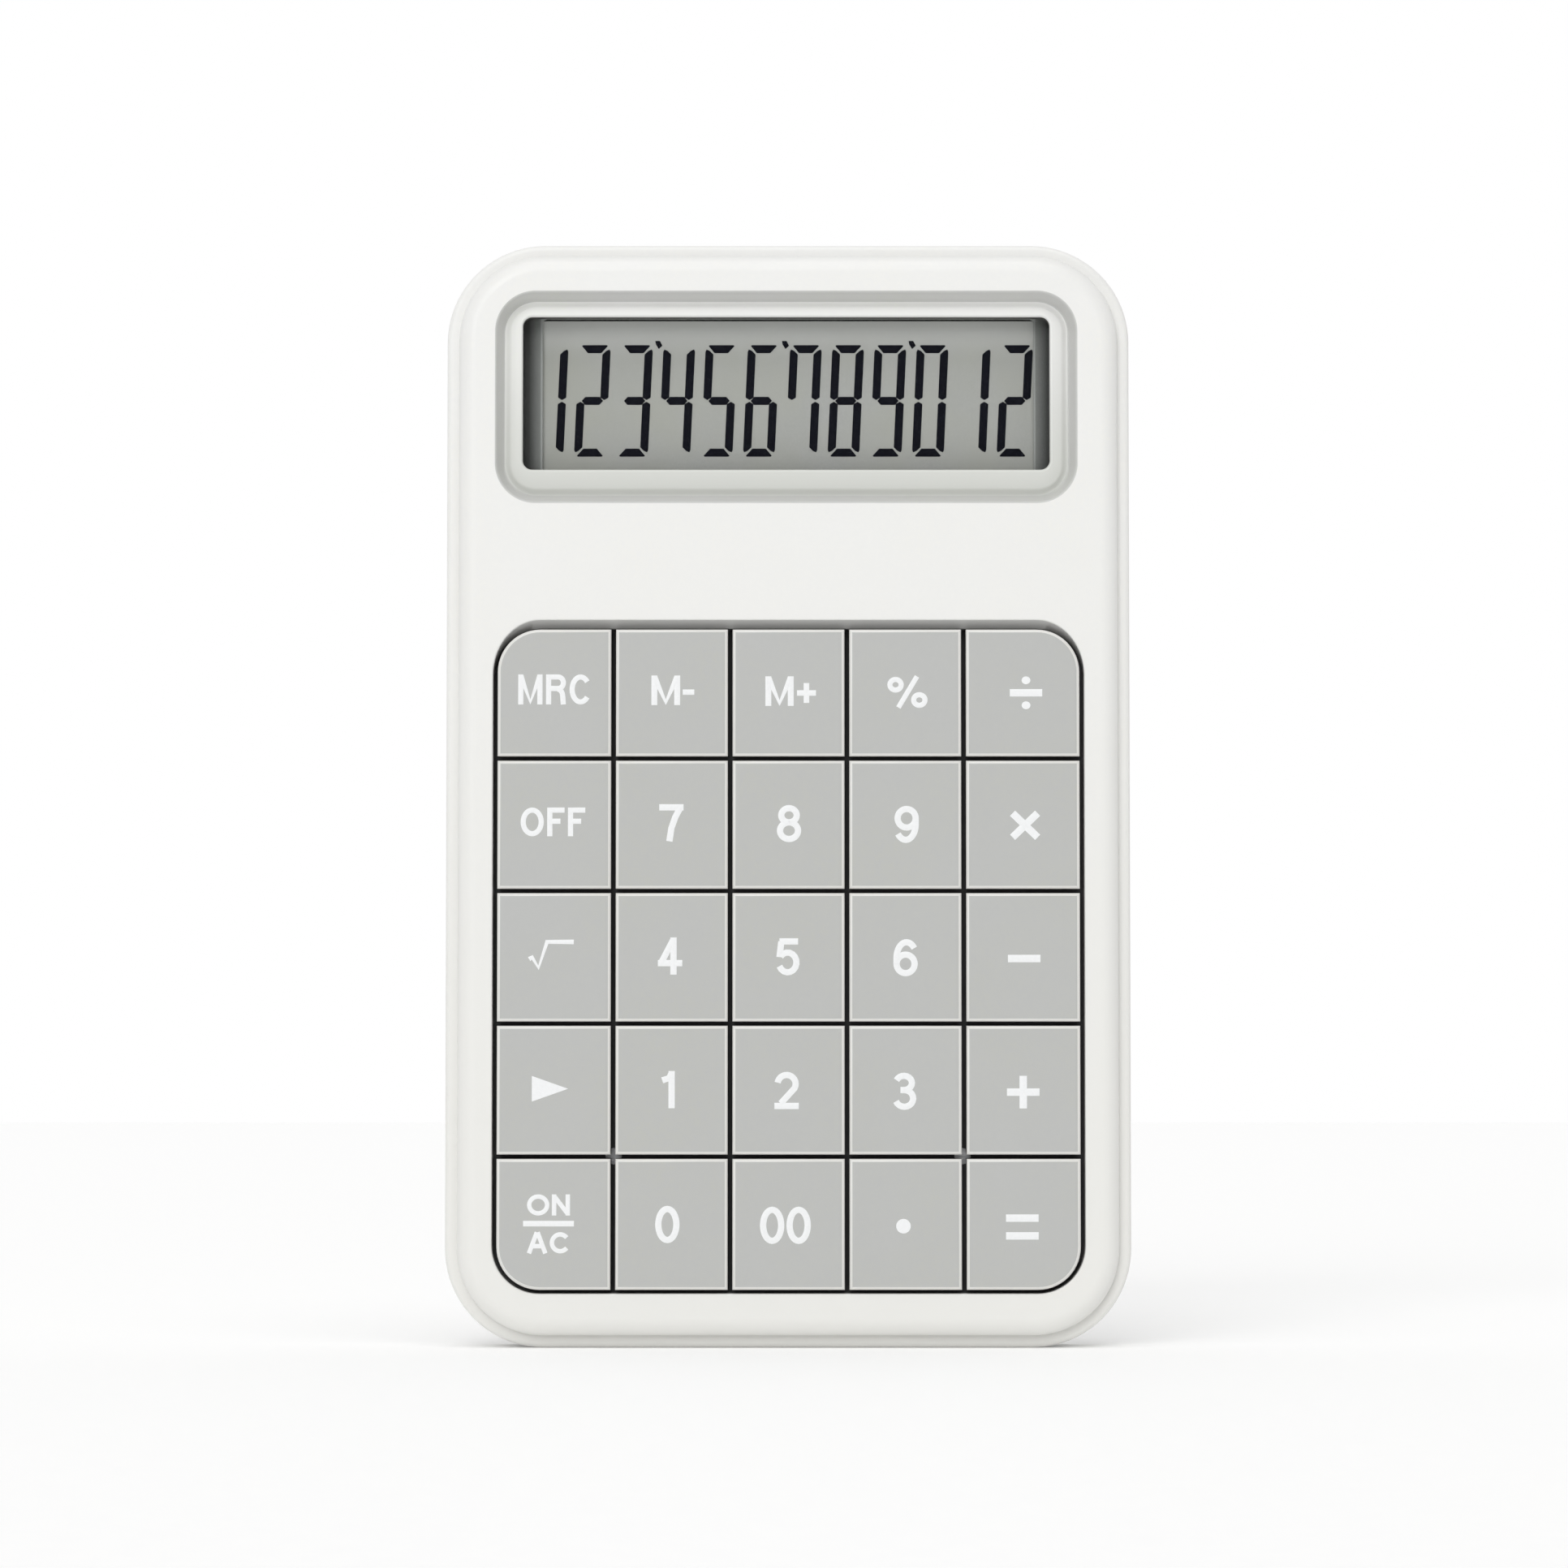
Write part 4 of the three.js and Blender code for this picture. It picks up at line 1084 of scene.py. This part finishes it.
class CALCULATOR_OT_legends(Operator):
    """What is printed on the keys"""
    bl_idname = "calculator.legends"
    bl_label = "Legends"

    def execute(self, context):
        keys = sizes(context, "keys")
        rise = mm(keys.legend_rise)
        print_and_painted_shade = legends(keys)
        across, down, drop = mm(keys.across_drift), mm(keys.down_drift), mm(keys.drop_drift)
        for row, names in enumerate(KEY_ROWS):
            for column, node in enumerate(names):
                bm = bmesh.new()
                for sign in print_and_painted_shade[node]:
                    sign_mesh(bm, *sign)
                middle, top = centre_of(node), flat_box(node)[1].z
                right = across * column - down * row
                up = mm(keys.print_rise) - across * column - drop * row
                spot = Matrix.Translation((middle.x + right, middle.y + up, top - rise))
                bmesh.ops.transform(bm, matrix=spot @ Matrix.Diagonal((1, 1, rise, 1)), verts=bm.verts)
                bmesh.ops.recalc_face_normals(bm, faces=bm.faces)
                piece = plain_object(node.replace("key_", "legend_"), bm, ["legend ink"])
                place(piece, node + "_cap")
        return {"FINISHED"}


# Display.


def bar_outlines(width, height, stroke, gap):
    """Outlines of a digit's seven bars, named a to g from the top round to the middle."""
    w, t, mid = width, stroke, height / 2
    cut, nip, bite = 0.32, 0.12, 0.1
    corner = height - 0.47
    upper = ((w - nip, corner), (w, corner - 0.25), (w, mid + t * 0.4), (w - t / 2, mid + gap * 0.6),
             (w - t, mid + t * 0.4), (w - t, height - t - gap), (w - t * 0.55, height - t * 0.55 - gap))
    top = ((cut + nip, height), (w - cut - nip, height), (w - cut, height - bite),
           (w - t - gap * 0.8, height - t), (t + gap * 0.8, height - t), (cut, height - bite))
    tip, shoulder = t / 2 + gap * 0.8, t + gap * 0.5
    middle = ((tip, mid), (shoulder, mid + t / 2), (w - shoulder, mid + t / 2),
              (w - tip, mid), (w - shoulder, mid - t / 2), (shoulder, mid - t / 2))

    def across(points):
        return tuple((w - x, y) for x, y in points)

    def over(points):
        return tuple((x, height - y) for x, y in points)

    return {"a": top, "b": upper, "c": over(upper), "d": over(top), "e": over(across(upper)),
            "f": across(upper), "g": middle}


BARS_OF = {"0": "abcdef", "1": "bc", "2": "abged", "3": "abgcd", "4": "fgbc", "5": "afgcd",
           "6": "afgedc", "7": "fabc", "8": "abcdefg", "9": "abcdfg"}


class CALCULATOR_OT_digits(Operator):
    """The digits on the display"""
    bl_idname = "calculator.digits"
    bl_label = "Display digits"

    def execute(self, context):
        display = sizes(context, "display")
        middle, film_top = centre_of("lcd_film"), flat_box("lcd_film")[1].z
        rise = mm(display.bar_rise)
        width, height = mm(display.digit_width), mm(display.digit_height)
        stroke, pitch = mm(display.stroke), mm(display.digit_pitch)
        shapes = bar_outlines(width, height, stroke, mm(display.gap))
        digits = len(display.reading.replace("'", ""))
        x = middle.x - (digits * pitch - (pitch - width)) / 2 - mm(display.digits_left)
        bottom = middle.y - height / 2 - mm(display.digits_down)
        tick = ((0.42, 0.0), (0.08, 0.5), (0.0, 0.88), (0.5, 0.88), (0.8, 0.36))
        tick_gap, tick_hang = 0.22, 0.42
        bm = bmesh.new()
        for mark in display.reading:
            if mark == "'":
                end = x - pitch + width
                spots = [[(end + tick_gap + u, height - tick_hang + v) for u, v in tick]]
            else:
                spots = [[(x + u, v) for u, v in shapes[bar]] for bar in BARS_OF[mark]]
                x += pitch
            for spot in spots:
                leaned = [(u + (v - height / 2) * tan(display.slant), bottom + v) for u, v in spot]
                face_along(face_of(bm, leaned, film_top + rise), up=True)
        bmesh.ops.solidify(bm, geom=bm.faces[:], thickness=rise)
        bmesh.ops.recalc_face_normals(bm, faces=bm.faces)
        piece = plain_object("display_digits", bm, ["display bars"])
        place(piece, "case")
        return {"FINISHED"}


# Dome mat.


def lathe(bm, centre, profile, steps):
    """A turned shape, from pairs of radius and height."""
    verts = [bm.verts.new((centre[0] + radius, centre[1], height)) for radius, height in profile]
    edges = [bm.edges.new(pair) for pair in zip(verts, verts[1:])]
    bmesh.ops.spin(bm, geom=verts + edges, cent=(centre[0], centre[1], 0), axis=(0, 0, 1),
                   angle=2 * pi, steps=steps, use_merge=True)
    bmesh.ops.remove_doubles(bm, verts=bm.verts, dist=MERGE)
    bmesh.ops.recalc_face_normals(bm, faces=bm.faces)


class CALCULATOR_OT_dome_mat(Operator):
    """Rubber mat, and a dome under every key"""
    bl_idname = "calculator.dome_mat"
    bl_label = "Dome mat"

    def execute(self, context):
        mat = sizes(context, "mat")
        low, high = flat_box("dome_mat")
        foot, crown, wall = mm(mat.foot), mm(mat.crown), mm(mat.wall)
        top = low.z + mm(mat.sheet)
        bm = bmesh.new()
        segments = 32
        open_face(bm, rounded_face(bm, low, high, mm(mat.corner), top, 8))
        centres = {node: centre_of(node) for row in KEY_ROWS for node in row}
        for centre in centres.values():
            open_face(bm, disc_face(bm, centre, foot, top, segments))
        for screw in SCREW_NODES[2:]:
            open_face(bm, disc_face(bm, centre_of(screw), mm(mat.boss_hole), top, segments))
        bmesh.ops.triangle_fill(bm, edges=bm.edges[:], use_beauty=True, normal=(0, 0, 1))
        for face in bm.faces:
            face_along(face, up=True)
        bmesh.ops.solidify(bm, geom=bm.faces[:], thickness=top - low.z)
        bmesh.ops.recalc_face_normals(bm, faces=bm.faces)
        sheet = plain_object("rubber_sheet", bm, ["dome rubber"])
        place(sheet, "case", "dome_rubber", ["dome_mat"])
        edge = wall / 2
        for node, centre in centres.items():
            bm = bmesh.new()
            profile = ((foot - wall, low.z), (foot, low.z), (foot, top), (crown + edge / 2, high.z - edge),
                       (crown - edge / 2, high.z), (0, high.z), (0, high.z - wall),
                       (crown - wall, high.z - wall), (foot - wall, low.z))
            lathe(bm, centre, profile, segments)
            dome = plain_object(node.replace("key_", "rubber_dome_"), bm, ["dome rubber"])
            place(dome, "case", "dome_rubber")
            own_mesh(dome)
        return {"FINISHED"}


# Back pieces.


def turned_disc(bm, centre, radius, low, high, edge, segments=64):
    """A closed disc with a rounded lower edge; returns its lower face."""
    face = disc_face(bm, centre, radius, high, segments)
    face_along(face, up=True)
    lower = other_side(bm, face)
    step_in(bm, lower, 0, high - low - edge)
    turn_over(bm, lower, edge, edge, EDGE_STEPS - 1)
    bmesh.ops.remove_doubles(bm, verts=bm.verts, dist=MERGE)
    return lower


class CALCULATOR_OT_battery_cover(Operator):
    """Round battery cover with its coin slot and lugs"""
    bl_idname = "calculator.battery_cover"
    bl_label = "Battery cover"

    def execute(self, context):
        back = sizes(context, "back")
        low, high = flat_box("battery_cover")
        centre = (low + high) / 2
        disc_top, lip = mm(back.cover_top), mm(back.small_round)
        bm = bmesh.new()
        lower = turned_disc(bm, centre, mm(back.cover), low.z, disc_top, mm(back.cover_round))
        open_face(bm, lower)
        long, wide, depth = mm(back.slot_length) / 2, mm(back.slot_width) / 2, mm(back.slot_depth)
        slot = rounded_face(bm, (centre.x - long, centre.y - wide), (centre.x + long, centre.y + wide),
                            wide * 0.8, low.z, 10)
        slot.normal_flip()
        turn_down(bm, slot, lip, -lip, 3)
        step_in(bm, slot, 0, -(depth - lip))
        fill_level(bm, low.z)
        plug = disc_face(bm, centre, mm(back.plug), high.z, 48)
        bmesh.ops.solidify(bm, geom=[plug], thickness=high.z - disc_top + mm(back.plug_lap))
        box(bm, (centre.x, centre.y, mm(back.lug_height)),
            (2 * mm(back.lug_reach), mm(back.lug_width), mm(back.lug_thickness)))
        bmesh.ops.recalc_face_normals(bm, faces=bm.faces)
        piece = plain_object("battery_lid", bm, ["case plastic"])
        place(piece, "cover", "case_plastic", ["battery_cover"])
        return {"FINISHED"}


class CALCULATOR_OT_feet(Operator):
    """Four rubber feet"""
    bl_idname = "calculator.feet"
    bl_label = "Feet"

    def execute(self, context):
        back = sizes(context, "back")
        for node in FOOT_NODES:
            low, high = flat_box(node)
            bm = bmesh.new()
            turned_disc(bm, (low + high) / 2, mm(back.foot), low.z, high.z, mm(back.foot_round), 48)
            bmesh.ops.recalc_face_normals(bm, faces=bm.faces)
            piece = plain_object("rubber_" + node, bm, ["foot rubber"])
            place(piece, "case", "foot_rubber", [node])
        return {"FINISHED"}


class CALCULATOR_OT_screws(Operator):
    """Case screws with cross recesses"""
    bl_idname = "calculator.screws"
    bl_label = "Case screws"

    def execute(self, context):
        back = sizes(context, "back")
        arm, half = mm(back.cross_reach), mm(back.cross_half)
        shank, lap = mm(back.shank), mm(back.shank_lap)
        for node in SCREW_NODES:
            low, high = flat_box(node)
            centre = (low + high) / 2
            head_end = low.z + mm(back.head_height)
            bm = bmesh.new()
            head = turned_disc(bm, centre, mm(back.screw_head), low.z, head_end, mm(back.head_round), 40)
            open_face(bm, head)
            cross = []
            for quarter in range(4):
                c, s = cos(quarter * pi / 2), sin(quarter * pi / 2)
                for u, v in ((arm, -half), (arm, half), (half, half)):
                    cross.append((centre.x + c * u - s * v, centre.y + s * u + c * v))
            recess = face_of(bm, cross, low.z)
            face_along(recess, up=False)
            step_in(bm, recess, mm(back.cross_taper), -mm(back.cross_depth))
            fill_level(bm, low.z)
            middle = Matrix.Translation((centre.x, centre.y, (head_end + high.z - lap) / 2))
            bmesh.ops.create_cone(bm, cap_ends=True, radius1=shank, radius2=shank, segments=24,
                                  depth=high.z - head_end + lap, matrix=middle)
            bmesh.ops.recalc_face_normals(bm, faces=bm.faces)
            piece = plain_object(node.replace("case_", "cross_"), bm, ["screw steel"])
            place(piece, "case", "screw_steel", [node])
        return {"FINISHED"}


class CALCULATOR_OT_finishes(Operator):
    """Materials, and the finished CAD pieces inside the case"""
    bl_idname = "calculator.finishes"
    bl_label = "Finishes"

    def execute(self, context):
        colours = sizes(context, "colours")
        white, painted_gap_shade = tuple(colours.case), tuple(colours.key_skirt_shade)
        # Painted shade: the case plastic darkens towards the foot of the front case, and the recess floor
        # towards the foot of the lens.
        moulded_plastic("case plastic", white, 0.38, low=("front_case", 0.95))
        moulded_plastic("recess plastic", white, 0.42, tint=(0.985, 1.0, 0.965), low=("display_lens", 0.8))
        # Painted shade: the recess walls are the case plastic made darker, for the shade inside the
        # recess.
        moulded_plastic("recess wall painted shade", shade(white, 0.7), 0.42, tint=(0.985, 1.0, 0.955))
        # Painted shade: the window's wall is near black, for the shadow under the window's edge.
        moulded_plastic("window edge painted shade", painted_gap_shade, 0.6)
        moulded_plastic("key face", tuple(colours.key), 0.42, tint=(1.0, 1.0, 0.96))
        # Painted highlight: the keys' rounded edges are painted pale for the light they catch.
        moulded_plastic("key edge highlight", tuple(colours.key_edge_highlight), 0.35)
        # Painted shade: key sides and stems near black, for the shade in the gaps between keys.
        moulded_plastic("key skirt shade", painted_gap_shade, 0.6)
        ink("legend ink", tuple(colours.legend))
        ink("display bars", tuple(colours.bars), 0.6, 0.05)
        rubber("foot rubber", (0.035, 0.035, 0.037))
        metal("screw steel", (0.55, 0.55, 0.56), 0.32)
        dress(clear_plastic("clear lens"), "display_lens")
        dress(display_border("display frame", tuple(colours.frame)), "lcd_frame")
        dress(display_film("display film", tuple(colours.film)), "lcd_film")
        dress(ink("display glass", (0.30, 0.33, 0.31), 0.08), "lcd_glass")
        dress(striped_rubber("contact rubber"), "zebra_strip")
        dress(moulded_plastic("guide plastic", (0.06, 0.06, 0.062), 0.5), "key_guide")
        rubber("dome rubber", (0.30, 0.31, 0.32), 0.65)
        dress(circuit_board("circuit board"), "main_board")
        dress(moulded_plastic("resin", (0.012, 0.012, 0.013), 0.25), "controller_cap", "resistor")
        dress(moulded_plastic("ceramic", (0.36, 0.24, 0.14), 0.4), "capacitor_1", "capacitor_2")
        dress(metal("cell nickel", (0.62, 0.61, 0.58), 0.25), "button_cell")
        dress(metal("spring metal", (0.60, 0.55, 0.42), 0.3), "contact_plus", "contact_minus")
        dress(metal("black steel", (0.03, 0.03, 0.032), 0.5), "board_screw_1", "board_screw_2")
        return {"FINISHED"}


# Studio.


WHITE = (1, 1, 1, 1)
SENSOR_WIDTH = 36
NEAR_LIMIT = 0.01


def aim(thing, location, target):
    """Puts a lamp or camera somewhere and points it at a target."""
    thing.location = location
    thing.rotation_euler = (Vector(target) - Vector(location)).to_track_quat("-Z", "Y").to_euler()


def soft_lamp(name, strength, rise, turn, spread):
    """A distant soft lamp in front: its angle over the floor, to the left, and across, in degrees."""
    data = bpy.data.lights.new(name, "SUN")
    data.energy = strength
    data.angle = radians(spread)
    lamp = bpy.data.objects.new(name, data)
    bpy.context.scene.collection.objects.link(lamp)
    up, left = radians(rise), radians(turn)
    aim(lamp, (-sin(left) * cos(up), -cos(left) * cos(up), sin(up)), (0, 0, 0))


def studio_world(studio):
    """A white backdrop to the eye, and an even light: bright behind the object, dimmer in front."""
    world = bpy.data.worlds.new("studio white")
    world.use_nodes = True
    nodes, links = world.node_tree.nodes, world.node_tree.links
    seen = nodes.new("ShaderNodeBackground")
    seen.inputs["Color"].default_value = WHITE
    around = nodes["Background"]
    around.inputs["Color"].default_value = WHITE
    coords, parts = nodes.new("ShaderNodeTexCoord"), nodes.new("ShaderNodeSeparateXYZ")
    links.new(coords.outputs["Generated"], parts.inputs["Vector"])
    depth, soft = nodes.new("ShaderNodeMapRange"), 0.25
    depth.interpolation_type = "SMOOTHSTEP"
    depth.inputs["From Min"].default_value = -soft
    depth.inputs["From Max"].default_value = soft
    depth.inputs["To Min"].default_value = studio.room
    depth.inputs["To Max"].default_value = studio.backdrop
    links.new(parts.outputs["Y"], depth.inputs["Value"])
    links.new(depth.outputs["Result"], around.inputs["Strength"])
    path, mix = nodes.new("ShaderNodeLightPath"), nodes.new("ShaderNodeMixShader")
    links.new(path.outputs["Is Camera Ray"], mix.inputs["Fac"])
    links.new(around.outputs["Background"], mix.inputs[1])
    links.new(seen.outputs["Background"], mix.inputs[2])
    links.new(mix.outputs["Shader"], nodes["World Output"].inputs["Surface"])
    return world


class CALCULATOR_OT_studio(Operator):
    """Floor, surroundings, lamps and camera"""
    bl_idname = "calculator.studio"
    bl_label = "Studio"

    def execute(self, context):
        studio = sizes(context, "studio")
        scene = context.scene
        bm = bmesh.new()
        bmesh.ops.create_grid(bm, x_segments=2, y_segments=2, size=studio.floor_size)
        mesh = bpy.data.meshes.new("floor")
        bm.to_mesh(mesh)
        bm.free()
        floor = bpy.data.objects.new("floor", mesh)
        scene.collection.objects.link(floor)
        paper, tree, shader, coords = new_material("floor paper", 0.9)
        fibres = ramp(tree, noise(tree, coords, 3.0, 4), 0, 1)
        paint(tree, shader, mix_colours(tree, fibres, (0.93, 0.93, 0.93), (0.95, 0.95, 0.945)))
        shader.inputs["Emission Color"].default_value = WHITE
        shader.inputs["Emission Strength"].default_value = studio.table_light
        mesh.materials.append(paper)
        scene.world = studio_world(studio)
        scene.view_settings.view_transform = "Standard"
        soft_lamp("front lamp", studio.front_lamp, rise=22, turn=14, spread=30)
        soft_lamp("top lamp", studio.top_lamp, rise=62, turn=4, spread=50)
        data = bpy.data.cameras.new("camera")
        data.sensor_width = SENSOR_WIDTH
        data.lens = data.sensor_width * studio.distance / studio.frame_width
        data.clip_start = NEAR_LIMIT
        camera = bpy.data.objects.new("camera", data)
        scene.collection.objects.link(camera)
        front = CAD_BOX[0].y
        aim(camera, (studio.aim_x, front - studio.distance, studio.height),
            (studio.aim_x, front, studio.aim_z))
        scene.camera = camera
        return {"FINISHED"}


class CALCULATOR_PT_pieces(Panel):
    """Lists the steps that build the calculator"""
    bl_label = "Calculator"
    bl_idname = "CALCULATOR_PT_pieces"
    bl_space_type = "VIEW_3D"
    bl_region_type = "UI"
    bl_category = "Calculator"

    def draw(self, context):
        for operator in OPERATORS:
            self.layout.operator(operator.bl_idname)


GROUPS = {
    "case": CalculatorCase,
    "display": CalculatorDisplay,
    "keys": CalculatorKeys,
    "mat": CalculatorMat,
    "back": CalculatorBack,
    "colours": CalculatorColours,
    "studio": CalculatorStudio,
}
OPERATORS = (
    CALCULATOR_OT_studio,
    CALCULATOR_OT_finishes,
    CALCULATOR_OT_front_shell,
    CALCULATOR_OT_rear_shell,
    CALCULATOR_OT_keys,
    CALCULATOR_OT_legends,
    CALCULATOR_OT_digits,
    CALCULATOR_OT_dome_mat,
    CALCULATOR_OT_battery_cover,
    CALCULATOR_OT_feet,
    CALCULATOR_OT_screws,
)


def register():
    """Adds the classes and the scene's property groups."""
    for cls in (*GROUPS.values(), *OPERATORS, CALCULATOR_PT_pieces):
        bpy.utils.register_class(cls)
    for name, group in GROUPS.items():
        setattr(bpy.types.Scene, "calculator_" + name, PointerProperty(type=group))


def unregister():
    """Takes the property groups and classes away again."""
    for name in GROUPS:
        delattr(bpy.types.Scene, "calculator_" + name)
    for cls in (CALCULATOR_PT_pieces, *reversed(OPERATORS), *reversed(GROUPS.values())):
        bpy.utils.unregister_class(cls)


def main():
    """Builds every piece and the stage."""
    register()
    for operator in OPERATORS:
        group, name = operator.bl_idname.split(".")
        getattr(getattr(bpy.ops, group), name)()


if __name__ == "__main__":
    main()
